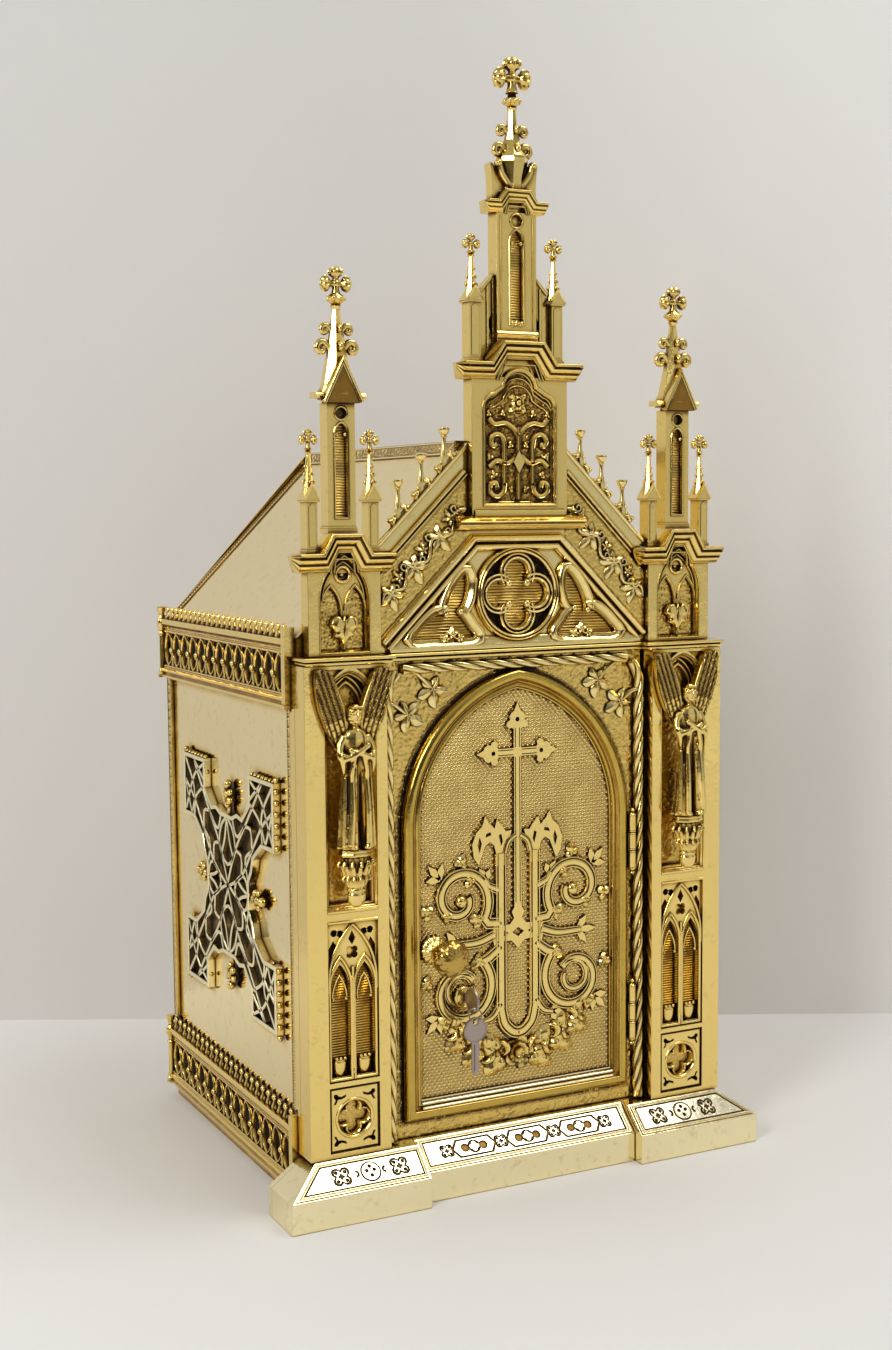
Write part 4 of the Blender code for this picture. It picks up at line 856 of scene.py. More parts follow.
def hinges():
    """Two three-knuckle hinges, a small finial at each end of their pins."""
    for name in ("upper", "lower"):
        whole, middle = Extent(f"hinge_{name}_case"), Extent(f"hinge_{name}_door")
        x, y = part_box(f"hinge_{name}_door")[1].x / MM - 3.4, whole.y0 + 3.4
        low, high, a, b = whole.z0 + 5, whole.z1 - 5, middle.z0, middle.z1
        rim = [(2.9, 0), (3.4, 0.5), (3.4, 1.3), (3.05, 1.5), (3.3, 1.8)]

        def knuckle(z0, z1):
            return turned(x, y, [(r, z0 + d) for r, d in rim] + [(r, z1 - d) for r, d in reversed(rim)], 20)

        finial = [(0.5, -5), (1.6, -4.4), (2.3, -3.2), (1.9, -2), (1.1, -1.4), (2.2, -0.8), (2.6, 0.1)]
        case = [knuckle(low, a - 0.3), knuckle(b + 0.3, high),
            turned(x, y, [(1.5, a - 1), (1.5, b + 1)], 12)]
        case += [turned(x, y, [(r, low + d) for r, d in finial], 16),
            turned(x, y, [(r, high - d) for r, d in reversed(finial)], 16)]
        case += [block(x - 1.5, x + 1.5, y + 2, BAY, z0, z1)
            for z0, z1 in ((low + 2, a - 1.3), (b + 1.3, high - 2))]
        make(f"hinge_{name}_fixed", case, replaces=[f"hinge_{name}_case"])
        plate = block(DOOR_HALF + 0.2, x - 2.2, y - 0.6, BAY - 1.8, a, b)
        make(f"hinge_{name}_moving", [knuckle(a, b), plate], body="door", replaces=[f"hinge_{name}_door"])


def door_fittings():
    """The knob, the lock and its two keys."""
    knob, lock = Extent("door_knob"), Extent("lock")
    x, z, tip = knob.cx, knob.cz, knob.y0
    base = [(10.4, -0.5), (11.4, 0.6), (11, 2.2), (8.6, 3.2), (7.4, 4.6), (5, 6.4), (4.4, 8)]
    base = turned_out(x, z, [(r, STRAP_FACE - h) for r, h in base], 64,
        lambda a, step: 0.55 * cos(16 * a) * (1 <= step <= 4))
    neck = turned_out(x, z, [(4.4, STRAP_FACE - 7), (4.1, -4), (5.4, -5.2), (5.4, -6.4), (4.4, -7.4),
        (4.6, -9)])
    bun = []
    for t in np.linspace(0.06, 1, 22):
        bend = pi * (0.08 + 0.9 * t)
        bun.append((max(15.2 * sin(bend) ** 0.8, 0.4), tip + 11 + 10.8 * cos(bend)))

    def leafage(a, step):
        cross = abs(sin(4 * a + 0.45 * step) * sin(4 * a - 0.45 * step))
        return 2 * cross ** 0.6 * sin(pi * step / (len(bun) - 1)) - 1.6

    make("door_knob_worked", [base, neck], body="door", replaces=["door_knob"], corner=60)
    make("door_knob_head", turned_out(x, z, bun, 90, leafage), KNOB, "door", corner=60)
    lx, lz = lock.cx, lock.cz
    barrel = [(r, lock.y0 + d) for r, d in ((8.8, 1.2), (8.3, 0.5), (7.4, 0.3), (7, 0.8), (6.2, 0.4),
        (0.3, 0))]
    barrel = turned_out(lx, lz, [(8.8, STRAP_FACE + 0.3)] + barrel, 40)
    make("lock_barrel", barrel, CAST, "door", ["lock"])

    key, ring, spare = Extent("key_in_lock"), Extent("key_ring"), Extent("spare_key")
    bow, thick = (key.z1 - key.z0) / 2, key.x1 - key.x0
    bow_y, bow_z = key.y0 + bow, key.cz
    eye_y, eye_z = bow_y - 4.8, bow_z - 5
    shank = [(6.5, lz - 3.6), (key.y1, lz - 3.6), (key.y1, lz + 3.6), (6.5, lz + 3.6)]
    flat = -key.x1 + 0.35
    blade = terraced([(shank + arc(bow_y, bow_z, bow - 0.2, 20, 340, 40), flat),
        (circle(eye_y, eye_z, 2.5, 20), None)], flat + thick - 0.7)
    rims = [torus((key.cx + s * (thick / 2 - 0.5), bow_y, bow_z), bow - 0.9, 0.7, (1, 0, 0), 48)
        for s in (-1, 1)]
    make("key_turned_in_lock", [sideways(blade)] + rims, STEEL, "door", ["key_in_lock"])
    reach = (ring.z1 - ring.z0) / 2 - 0.6
    make("split_ring", [torus((ring.cx, ring.cy, ring.cz), reach, 0.6, (1, 1, 0))], STEEL, "door",
        ["key_ring"])
    head, front = spare.z1 - bow, spare.y0
    eye = head + 6.8
    teeth = [(-3.4, 9.6), (-3.4, 33), (-1.6, 37.6), (0.4, 38), (1.6, 35.4), (3.3, 33), (2.2, 30.6),
        (3.4, 28.4), (1.8, 26), (3.4, 23.6), (2.4, 21.6), (3.4, 19.4), (3.4, 9.6)]
    plate = [(circle(lx, head, bow - 0.2, 48), front + 0.35), (placed(teeth, lx, head, 1, -1), front + 0.4),
        (rect(lx - 1.6, lx - 0.7, head - 34, head - 12), front + 0.9), (circle(lx, eye, 2.9, 20), None)]
    rim = torus((lx, front + 0.75, head), bow - 0.9, 0.75, (0, 1, 0), 48)
    make("spare_key_hanging", [terraced(plate, front + thick), rim], STEEL, "door", ["spare_key"])


door()
hinges()
door_fittings()


# ---- piers ----
PIER = Extent("pier_right")
PIER_MID = Extent("turret_block_right").cx
PANEL_HALF = 21.4
BAR = even((1.4, -0.5), (1.4, 0.3), (0.9, 1.3), (0.3, 1.7))
THIN_BAR = even((0.9, -0.5), (0.9, 0.3), (0.5, 1.1))
SPLAY = ((3.2, -11), (3.2, -5.2), (2.8, -4.4), (1.9, -4.4), (1.6, -3), (0.9, -1.6), (0.2, -1.2), (0, -0.2),
    (-0.5, 0.3), (-1.1, 0), (-1.1, -0.6))


def pier():
    """A pier with its niche, its blind tracery and its lowest panel."""
    mid, half = PIER_MID, PANEL_HALF
    niche = lancet(mid, half, 244.3, 404, 430, 14)
    inner_edge, outer_edge = PIER.x0 + 1.6, PIER.x1 + 3
    layers = [(rect(inner_edge, outer_edge, PIER.z0, PIER.z1), 0), (niche, 10.8)]
    solids = [sweep(niche, SPLAY, 0, closed=True)]
    for inset, top in ((5.6, 425.6), (8.8, 420.6)):
        inner = arch_head(mid, half - inset, 400, top, 12)
        solids.append(sweep([(mid + half - inset, 386)] + inner + [(mid - half + inset, 386)], BAR,
            8.6 + inset * 0.1))
    spandrel = [(20.6, 431.6), (20.6, 418), (10.5, 428), (5.5, 431.6)]
    layers += [(placed(spandrel, mid, 0, s), 3) for s in (-1, 1)]
    # The tracery: two lancets under one arch, daggers and trefoils between the bars.
    low, high = 106.4, 232.8
    layers.append((rect(mid - half, mid + half, low, high), 2.6))
    for s, tag in ((-1, "a"), (1, "b")):
        cx = mid + s * 10.5
        light = lancet(cx, 8.2, 110, 180, 200, 10)
        layers.append((light, 10))
        solids.append(sweep(lancet(cx, 9.4, 108, 182, 206, 10), BAR, 2.6, closed=True))
        solids.append(sweep(arch_head(cx, 6.2, 172, 191, 10), even((1, -0.4), (0.6, 0.8)), 4.6))
        for t in (-1, 1):
            solids.append(bead(cx + t * 5.8, 4.4, 172, 1.5))
        yield "pier_lights_" + tag, field(lancet(cx, 8.4, 109.8, 180, 200.2, 10), 9.9, (2.5, 0.53),
            hatch(2.12, 0.8))
        cup = [(2.6, 109), (5, 112), (6.2, 117), (6.5, 121.6), (5.8, 122.4), (6.3, 123.2), (5.4, 124.4),
            (2, 124.6)]
        solids.append(turned(cx, 7.6, cup, 20, 0.9))
        solids += [bead(cx + dx, 3.4, 124.6, 1.5) for dx in (-3.6, 0, 3.6)]
        solids.append(block(cx - 8, cx + 8, 1.8, 9, 106.8, 109.4))
        for dx, z in ((10.2, 224.6), (15.4, 225.4)):
            layers.append((circle(mid + s * dx, z, 2.7, 12), 8.5))
        dagger = [(19.6, 203), (19.8, 213), (16, 219.4), (13.2, 214)]
        layers.append((placed(dagger, mid, 0, s), 8.5))
    arch = [(mid + half - 1, 178)] + arch_head(mid, half - 1, 186, 231.5, 12) + [(mid - half + 1, 178)]
    solids.append(sweep(arch, BAR, 2.4))
    layers.append((foils(mid, 209, 3, 2.6, 4, 7, EIGHTH_TURN), 8.5))
    layers.append(([(mid, 226), (mid - 3, 220), (mid, 215), (mid + 3, 220)], 8.5))
    solids.append(sweep([(mid, 198), (mid, 116)], BAR, 2.4))
    solids += [bead(mid, 3, 113.5, 2.6, 0.8), bead(mid, 3, 117.6, 1.9, 0.6), bead(mid, 2.2, 189, 2.1)]
    # The lowest panel: a quatrefoil in a ring, with forked slots in its corners.
    layers.append((rect(mid - half, mid + half, 49.8, 102.4), 3.2))
    layers.append((rect(mid - half + 1.6, mid + half - 1.6, 51.6, 100.6), 1.2))
    ring_z = 76
    layers.append((circle(mid, ring_z, 16, 36), 6))
    layers.append((foils(mid, ring_z, 8.2, 5.7, 4, 9), 9.5))
    yield "pier_rose_ground_b", field(circle(mid, ring_z, 14.4, 30), 9.4, (0.7, 0.7), stipple(0.8, 6))
    solids.append(sweep(circle(mid, ring_z, 15.4, 48),
        ((1.9, -1), (1.5, 1), (0.5, 1.9), (-0.8, 1.9), (-1.6, 1), (-1.9, -1)), 2.6, closed=True))
    solids.append(sweep(foils(mid, ring_z, 8.2, 6.3, 4, 9),
        ((1.4, -4), (1.2, 1.4), (0.3, 2.4), (-0.8, 1.9), (-1.6, -1)), 5, closed=True))
    solids += [bead(mid + sx * 5.8, 3.6, ring_z + sz * 5.8, 1.6) for sx, sz in CORNERS]
    slot = [(2.6, -5.6), (0.8, -2), (2.6, 0.6), (2.2, 2.4), (0.2, 2.6), (-1.2, 1), (-4, 0), (-8, 1.4),
        (-7.4, -0.4), (-3.4, -1.8), (-0.8, -1.8), (1, -5.4)]
    layers += [(placed(slot, mid + sx * 15.2, ring_z + sz * 18.4, sx, sz), 6.5) for sx, sz in CORNERS]
    sill = [(0, 243.6), (0.9, 243.2), (0.9, 241.6), (0.1, 241), (0.1, 235.4), (0.9, 234.8), (0.9, 233.4),
        (0, 233)]
    solids.append(rings([[(x, 0.2 - out, z) for out, z in [(-1, sill[0][1])] + sill + [(-1, sill[-1][1])]]
        for x in (mid - half, mid + half)]))
    solids += [block(PIER.x1 - 0.6, outer_edge, PIER.y1 - 1, PIER.y1 + 6, PIER.z0, PIER.z1),
        block(PIER.x1 - 0.6, outer_edge - 0.4, PIER.y1 - 1, PIER.y1 + 11, 80, 398)]
    yield "pier_cast", [terraced(layers, PIER.y1)] + solids
    lining = [block(x - 0.15, x + 0.15, 5.6, 10.5, 245, 402) for x in (mid - half + 3.4, mid + half - 3.4)]
    yield "niche_lining_b", lining
    yield "niche_ground_b", field(lancet(mid, half - 3.4, 246, 402, 427.4, 12), 10.6, (1.2, 1.2),
        stipple(1))


# ---- angels ----
def robe(cx, cy, levels):
    """A robe in folds: levels lists (z, half width, half depth, depth of the folds, shift in x)."""
    loops = []
    for k, (z, rx, ry, fold, dx) in enumerate(levels):
        loop = []
        for a in around(72):
            wave = 0.6 * abs(cos(4.5 * a + 0.1 * k)) ** 0.6 + 0.35 * cos(13 * a - 0.15 * k)
            wave -= 0.3 + 2 * exp(-((a - 4.62) / 0.26) ** 4) + 0.7 * exp(-((a - 5.4) / 0.09) ** 2)
            r = 1 + fold * wave
            loop.append((cx + dx + rx * r * cos(a), cy + ry * r * sin(a), z))
        loops.append(loop)
    return rings(loops)


def feathers(x, tilt):
    """Long feathers side by side with slanting barbs, over rows of short ones near the shoulder."""
    c, n = cos(tilt), sin(tilt)
    shoulder, pitch, short = 378, 4.2, 16

    def pattern(px, pz):
        along = (px - x) * n + (pz - shoulder) * c
        across = (px - x) * c - (pz - shoulder) * n
        w = across / pitch - np.floor(across / pitch) - 0.5
        vane = 1.5 * np.sqrt(np.maximum(1 - 4.2 * w * w, 0)) + 0.5 * np.exp(-(w / 0.09) ** 2)
        vane = vane + 0.34 * np.sin((along - 7 * np.abs(w)) * 2 * pi / 2.3)
        row = along / 6.5 + 0.5 * (np.floor(across / pitch) % 2)
        scale = 2.3 * np.sqrt(np.maximum(1 - 4 * w * w, 0)) * (0.55 + 0.45 * (row - np.floor(row)))
        return np.where(along < short, scale, vane)

    return pattern


def angel():
    """A standing robed angel with crossed arms, wings raised behind, on a leafy corbel.  Each part comes
    with the fineness at which its solids are fused; the feathers are sheets and come with none."""
    x, y = PIER_MID, -8
    body = robe(x, y, [(293.5, 14, 10.5, 0.30, 0), (296, 13.6, 10.2, 0.32, 0), (303, 12.8, 9.8, 0.32, 0.2),
        (315, 12, 9.4, 0.33, 0.4), (330, 10.8, 8.8, 0.32, 0.4), (345, 9.6, 8, 0.29, 0.2),
        (356, 8.8, 7.2, 0.2, 0), (364, 8.8, 6.6, 0.08, 0), (374, 10, 6.4, 0.02, 0), (380, 10.2, 6, 0, 0),
        (384, 8, 5.2, 0, 0), (386.5, 4, 3.8, 0, 0)])
    solids = [body, turned(x, y - 0.6, [(3, 384), (2.5, 388), (2.6, 393)], 16)]
    for s in (-1, 1):
        def fold(points, start, end, sides=10, steps=8):
            """A tapering bar on this side of the figure, through (outwards, forwards, z)."""
            line = curve([(x + s * out, y - fore, z) for out, fore, z in points], steps)
            return tube(line, np.linspace(start, end, len(line)), sides)

        hand_fore, hand_z = 8.6 + 0.9 * (s > 0), 371.5 + 1.5 * s
        arm = [(9, 0, 380.5), (12.8, 1.5, 373), (13, 5, 364), (4.4, 8.6, 366.5), (-6, hand_fore, hand_z)]
        solids += [fold(arm, 3.7, 1.9, 12, 6),
            bead(x - s * 7, y - hand_fore, hand_z + 0.8, 2.1, 1.1, 0.8, 12),
            fold([(12.4, 5, 368), (12.6, 6, 360), (12, 6, 352.5)], 3.4, 0.9, 10, 6),
            fold([(4.4, 8.2, 365), (6.4, 8.4, 352), (5.8, 7.8, 338)], 2.4, 1, 8, 6),
            bead(x + s * 5.5, y - 8.4, 295.4, 3.6, 0.6, 1.4, 12),
            fold([(5.8, 7, 354), (6.6, 9.4, 326), (7.6 + s, 9.8, 296.5)], 1.9, 3),
            fold([(10.4, 4.4, 350), (11.2, 5.6, 325), (12.2, 6, 295.5)], 1.4, 2.2)]
    yield "angel_figure", solids, 0.76

    head = [bead(x, y - 2, 397, 5, 1.28, 1.1, 24), bead(x, y - 3.6, 392.6, 3, 0.9, 1, 16)]
    head.append(tube([(x, y - 7.2, 399), (x, y - 8.2, 396.2), (x, y - 7.4, 395.4)], [0.5, 0.9, 0.6], 8))
    for s in (-1, 1):
        head.append(tube([(x + s * 0.9, y - 7, 399.6), (x + s * 2.4, y - 7, 400),
            (x + s * 3.8, y - 5.6, 399.2)], 0.5, 6))
        head.append(bead(x + s * 2, y - 6.4, 398.2, 0.8))
        head.append(tube([(x, y - 7.3, 393.4), (x + s * 1.5, y - 6.8, 393.5)], 0.45, 6))
        for k in range(7):
            a = radians(10 + 24 * k)
            head.append(bead(x + s * 5 * sin(a), y - 1.6 - 1.2 * (k % 2), 396.6 + 6.4 * cos(a) * 1.05, 2, 1,
                1.2, 8))
    head += [bead(x + dx, y - 5.4, 403 + 0.6 * (dx == 0), 1.5, 0.9, 1, 8) for dx in (-3, -1, 1, 3)]
    yield "angel_head", head, 0.34

    wings = []
    blade = curve([(6, 370), (5, 386), (7, 401), (12, 416), (17, 427), (22, 431.4), (30, 431.6), (31, 422),
        (29, 405), (24.5, 391), (19, 379), (12, 368)], 4, True)
    for s in (-1, 1):
        outline = placed(blade, x, 0, s)[::s]
        wings.append(prism(outline, -5.4, 0.4))
        rim = curve([(7, 374), (6.2, 388), (8.2, 401), (13, 415), (19, 428.6)], 5)
        rim = [(x + s * dx, -5.6, z) for dx, z in rim]
        wings.append(tube(rim, np.linspace(2, 1.1, len(rim)), 10))
        yield f"angel_feathers_{'inner' if s < 0 else 'outer'}", field(outline, -5.3, (0.45, 0.45),
            feathers(x + s * 8, s * 0.33)), None
    yield "angel_wings", wings, 0

    cy = y + 1
    corbel = [turned(x, cy, [(12.6, 286.8), (14.4, 287.6), (14.4, 289.4), (13.4, 290.2), (13.9, 292.4),
        (12, 293.6)], 8, 0.72, pi / 8),
        turned(x, cy, [(3.4, 262), (6.2, 266), (9, 276), (11.4, 287.4)], 24, 0.72),
        turned(x, cy, [(6, 258.6), (7.6, 259.6), (7.6, 261), (6, 262.4)], 24, 0.8),
        turned(x, cy, [(2, 246.6), (5.2, 248.4), (7.2, 252), (7.6, 257), (6.2, 259.2)], 24, 0.8)]
    for row, (z, r, size, count) in enumerate(((266.5, 7.2, 5.2, 7), (277, 10.4, 6.4, 7))):
        for k in range(count):
            a = pi * (1.02 + 0.96 * k / (count - 1)) if row else pi * (1 + (k + 0.5) / count)
            px, py = x + r * cos(a), cy + r * 0.72 * sin(a)
            ox, oy = cos(a), 0.72 * sin(a)
            frond = curve([(px + ox * out, py + oy * out, z + size * up)
                for out, up in ((-1.4, -0.6), (1, 0.3), (3, 1), (4.6, 0.6))], 5)
            corbel.append(tube(frond, np.linspace(2.3, 1.2, len(frond)), 8))
            corbel.append(bead(px + ox * 4.6, py + oy * 4.6, z + size * 0.55, 1.7, 1, 1, 8))
    yield "angel_corbel", corbel, 0.6


def piers():
    """Both piers and their angels."""
    for name, solids in pier():
        if name == "pier_cast":
            both(name, solids, replaces=["pier"], bevel=0.28)
        else:
            both(name, solids, finish=NICHE if name.startswith("niche") else HATCHED, sheet=True)
    for name, solids, voxel in angel():
        finish = WINGS if name.startswith(("angel_wings", "angel_feathers")) else CARVED
        if voxel is None:
            both(name, solids, finish=finish, sheet=True)
        else:
            stands_for = ["angel"] if name == "angel_figure" else ()
            both(name, solids, replaces=stands_for, finish=finish, voxel=voxel, corner=60)


piers()


# ---- gable ----
GABLE = Extent("gable")
GABLE_FACE = GABLE.y0 + 5.5
LEDGE_TOP = GABLE.z0
RAKE_TOP = 650.3      # on a rake, z + |x| along its upper edge
RAKE_FOOT = 624.5     # the same along its lower edge
INNER_RAKE = 575      # the same along the outer edge of the lower moulding
ROSE_Z = 485
TOWER_HALF = 44.1     # half the width that the tower takes out of the gable


def gable():
    """The gable wall: rose and side lights in rolls, and a band of ivy under each rake."""
    tower = TOWER_HALF
    notch = Extent("turret_block_right")
    cornice_x, cornice_z = notch.x0 - 0.3, 505.5
    ledge_x, ledge_low = 58.3, 536.7
    foot = RAKE_FOOT - 0.3
    side = GABLE.x1
    right = [(side, LEDGE_TOP), (side, foot - side), (foot - cornice_z, cornice_z), (cornice_x, cornice_z),
        (cornice_x, foot - cornice_x), (tower, foot - tower), (tower, 548.3), (ledge_x, 548.3),
        (ledge_x, ledge_low)]
    inner = [(104.6, 451.4), (32, 524)]
    layers = [(right + mirror(right), GABLE_FACE), (inner + mirror(inner), GABLE_FACE + 0.4),
        (circle(0, ROSE_Z, 35, 56), GABLE_FACE + 4.4)]
    light_edge = curve([(47, 501.6), (45.4, 494), (46.6, 485), (49.6, 477.4), (54.2, 471.8), (49.4, 466),
        (44, 458.6), (39, 451.6), (52, 450.4), (74, 450.4), (93.6, 450.6), (88.6, 457.4), (82, 464),
        (74.8, 469.2), (68.8, 470.4), (64.4, 469.2), (64.4, 475.4), (61.6, 483), (57, 491.4),
        (51.6, 498.6)], 5, True)
    layers += [(placed(light_edge, 0, 0, s), GABLE_FACE + 2.2) for s in (1, -1)]
    lip = ((8.9, -2), (8.4, 2.2), (7, 4.6), (5.2, 5.4), (3.4, 4.4), (2, 2.2), (1.2, 1.6), (0.3, 2.4),
        (-0.5, 1.2), (-0.6, -3))
    solids = twin([sweep(light_edge[::-1], lip, GABLE_FACE - 0.4, closed=True)])
    moulding = [(13.4, -1.5), (13.4, 0.6), (12.9, 2.2), (12.2, 3.8), (11.1, 4.8), (9.8, 4.9), (8.7, 4.1),
        (8, 2.6), (7.6, 1), (7, 0.8), (6.6, 3.2), (5.8, 5.2), (4.6, 6.3), (3.2, 6.4), (2, 5.5), (1.2, 3.8),
        (0.8, 1.2), (0, 0.8), (0, -0.5)]
    path = [(side, INNER_RAKE - side), (41.5, INNER_RAKE - 41.5)]
    solids.append(sweep(path + mirror(path), moulding, GABLE_FACE))
    sill = [(9.6, -1), (9.4, 1.6), (8.2, 2.4), (6, 3), (3.4, 5.2), (1.4, 5.8), (0, 5.4), (0, -1)]
    solids.append(sweep([(-116, LEDGE_TOP), (116, LEDGE_TOP)], sill, GABLE_FACE))
    ring = ((2.6, -2), (2.6, 3.4), (2, 5), (1.1, 5.6), (0.3, 5), (-0.1, 4), (-0.5, 4.6), (-1.3, 5.4),
        (-2.1, 4.6), (-2.6, 2.8), (-2.6, -4.6))
    solids.append(sweep(circle(0, ROSE_Z, 35.8, 72), ring, GABLE_FACE, closed=True))
    foil = ((3.7, -5.2), (3.7, -0.4), (3.1, 1.6), (2.1, 2.9), (1, 3), (0.3, 2), (0, 1), (-0.4, 2.2),
        (-1.3, 3.4), (-2.4, 3.2), (-3.2, 1.6), (-3.6, -0.6), (-3.6, -5.2))
    for a in (0, 90, 180, 270):
        at = radians(a)
        centre = (17 * cos(at), ROSE_Z + 17 * sin(at))
        solids.append(sweep(arc(*centre, 13.6, a - 124, a + 124, 34), foil,
            GABLE_FACE - 0.4 + 0.15 * (a > 0)))
        at += EIGHTH_TURN
        solids.append(bead(11.8 * cos(at), GABLE_FACE - 2.6, ROSE_Z + 11.8 * sin(at), 3.1, 1, 1, 14))
    tufts = [leaf(x, LEDGE_TOP + z, size, turn, GABLE_FACE - 2.5, 5, 3, sides=36)
        for x, z, size, turn in ((60, 12.5, 7, 90), (54, 9, 6, 150), (66, 9, 6, 30))]
    tufts += [bead(x, GABLE_FACE - h, z, r)
        for x, z, h, r in ((44, 524.5, 1.5, 2), (53, 471.8, 3.6, 2.6), (65.6, 469.6, 3.6, 2.6))]
    solids += twin(tufts)
    make("gable_cast", [terraced(layers, GABLE.y1)] + solids, POLISHED, replaces=["gable"], bevel=0.3)
    # A dark stippled sheet between the ring and the foils of the rose: painted shade in those corners.
    make("gable_rose_corners", field(circle(0, ROSE_Z, 34.6, 48), GABLE_FACE + 4, (1.4, 1.4),
        stipple(0.8, 4)), DARK, sheet=True)
    for tag, opening, y in (("rose", foils(0, ROSE_Z, 17, 12.6, 4, 14), GABLE_FACE + 3),
            ("right", light_edge, GABLE_FACE + 1.9), ("left", mirror(light_edge), GABLE_FACE + 1.9)):
        make(f"gable_ground_{tag}", field(opening, y, (3, 0.5), hatch(2.4, 0.8)), HATCHED, sheet=True)
    ivy = []
    y = GABLE_FACE
    for lx, lz, turn, size in ((70.5, 531, 225, 15), (84.5, 521.5, 10, 8), (92.5, 508, 240, 15.5),
            (106, 500, 50, 8), (112.5, 487, 250, 14.5), (60, 546, 60, 9), (52, 549.5, 220, 9)):
        ivy.append(leaf(lx, lz, size, turn, y, 5, 3.6, sides=50, deep=0.52))
    wave = []
    for k in range(34):
        t = k / 33
        x = 47 + 74 * t
        off = 4.5 * sin(2 * pi * t * 3.5)
        wave.append((x + off * 0.7, y - 1.6, 600.5 - x + off * 0.7))
    ivy.append(tube(wave, 1.5, 8))
    for k in range(2, 32, 5):
        x, _, z = wave[k]
        curl = [(px, y - 1.8, pz) for px, pz in spiral(x + 3, z + 2, 3.6, 1.2, 200, 560, 14)]
        ivy.append(tube(curl, 0.9, 6))
    both("gable_ivy", ivy, finish=ROPE, corner=60)
    band = [(46, 576), (46, 529.5), (122.8, 453), (122.8, 499.5)]
    both("gable_band_ground", field(band, GABLE_FACE + 0.15, (1.1, 1.1), stipple(0.9, 2)), finish=GROUND,
        sheet=True)


def rake():
    """A raking band with rolls along its lower edge and pinned crockets along its top."""
    tower, end = TOWER_HALF, GABLE.x1
    shelf, cut = 521, Extent("turret_block_right").x0 - 0.3
    face = GABLE_FACE + 0.4
    plate = [(tower, RAKE_FOOT - tower), (cut, RAKE_FOOT - cut), (cut, shelf), (end, shelf),
        (end, RAKE_TOP - end), (tower, RAKE_TOP - tower)]
    solids = [terraced([(plate, face)], GABLE.y1)]
    low = [(cut - 0.4, RAKE_FOOT - cut + 0.4), (tower, RAKE_FOOT - tower)]
    rolls = [(6.4, -0.5), (6.3, 0.6), (6, 2.4), (5.2, 3.5), (3.9, 3.4), (3, 2), (2.7, 0.9), (2.4, 1.3),
        (1.8, 2.4), (0.9, 2.5), (0.1, 1.4), (0, -0.5)]
    solids.append(sweep(low[::-1], rolls, face))
    top = [(end, RAKE_TOP - end), (tower, RAKE_TOP - tower)]
    solids.append(sweep(top, ((3, -0.5), (3, 0.4), (2.4, 0.9), (0.6, 1.2), (0, 0.9), (0, -4)), face))
    for x in (63, 83.5, 104):
        z, y = RAKE_TOP - x, 17.7
        bow = [(-11.6, 11.6), (-9, 9.8), (-6, 9.1), (-3.6, 9.9), (-2, 13), (2, 13), (2.3, 8), (3.3, 2),
            (5.6, -3.4), (10.6, -10.2), (9.6, -11.6), (-12.6, 10.6)]
        hole = [(-5.2, 7.3), (-1.7, 2.8), (-1.7, 7.5)]
        solids.append(terraced([(placed(bow, x, z), 15.6), (placed(hole, x, z), None)], 20))
        pin = [(2.7, 8.4), (2.3, 12), (1.7, 17), (1.7, 22.8), (2.7, 23.6), (2, 24.6), (3.8, 26.4),
            (4.6, 28.6), (4.5, 30.4), (1.6, 31.2)]
        solids.append(turned(x, y, placed(pin, 0, z), 14))
        solids += [leaf(x + 6.4, z - 2.4, 5.6, 135, 16, 3, 3.4, sides=30),
            leaf(x - 6.6, z + 8.2, 5, 20, 16, 3, 3, sides=30)]
        for dx, dz, r in ((-9.2, 9.2, 1.6), (-6, 8.6, 1.5), (3.4, 3.4, 1.5), (4.8, -1.4, 1.6),
                (-2.8, 9.6, 1.4), (2.4, 8, 1.4)):
            solids.append(bead(x + dx, 15.8, z + dz, r, 1, 0.8, 10))
    both("rake_cast", solids, replaces=["rake"], finish=POLISHED, bevel=0.3)


# ---- tower ----
CORNICE = ((0, -1), (0, 0.92), (-0.04, 1.04), (-0.16, 1.08), (-0.21, 0.98), (-0.25, 0.74), (-0.31, 0.7),
    (-0.35, 0.88), (-0.45, 0.8), (-0.55, 0.6), (-0.6, 0.38), (-0.64, 0.42), (-0.68, 0.5), (-0.78, 0.4),
    (-0.86, 0.16), (-0.92, 0.18), (-1, 0), (-1, -1))


def cornice(cx, half, low, high, rise, crown, shoulder, face, front, back):
    """A cornice that climbs over a raised middle, and the nested rolls under the raised part."""
    tall, out = high - low, face - front
    section = [(u * tall, h * out if h >= 0 else face - back + 1.2) for u, h in CORNICE]
    beak = out * 0.55
    top = [(-half, high - tall * 0.1), (-half + beak, high), (-shoulder, high), (-crown, high + rise),
        (crown, high + rise), (shoulder, high), (half - beak, high), (half, high - tall * 0.1)]
    solids = [sweep(placed(top, cx), section, face, swell=(0.3, 1, 1, 1, 1, 1, 1, 0.3))]
    for k in (1, 2):
        d = tall * (0.62 + 0.36 * k)
        lean = d * 0.55
        inner = [(-shoulder + lean + tall * 0.1, low - 0.6), (-crown + lean * 0.5, high + rise - d),
            (crown - lean * 0.5, high + rise - d), (shoulder - lean - tall * 0.1, low - 0.6)]
        if inner[3][0] > 2:
            solids.append(sweep(placed(inner, cx), even((0.7, -0.5), (0.5, 0.9)), face - 0.2))
    fill = [(-shoulder, low - 1), (shoulder, low - 1), (shoulder, high - tall * 0.35),
        (crown, high + rise - tall * 0.35), (-crown, high + rise - tall * 0.35),
        (-shoulder, high - tall * 0.35)]
    solids.append(prism(placed(fill, cx), face + 5, back - 0.3))
    return solids


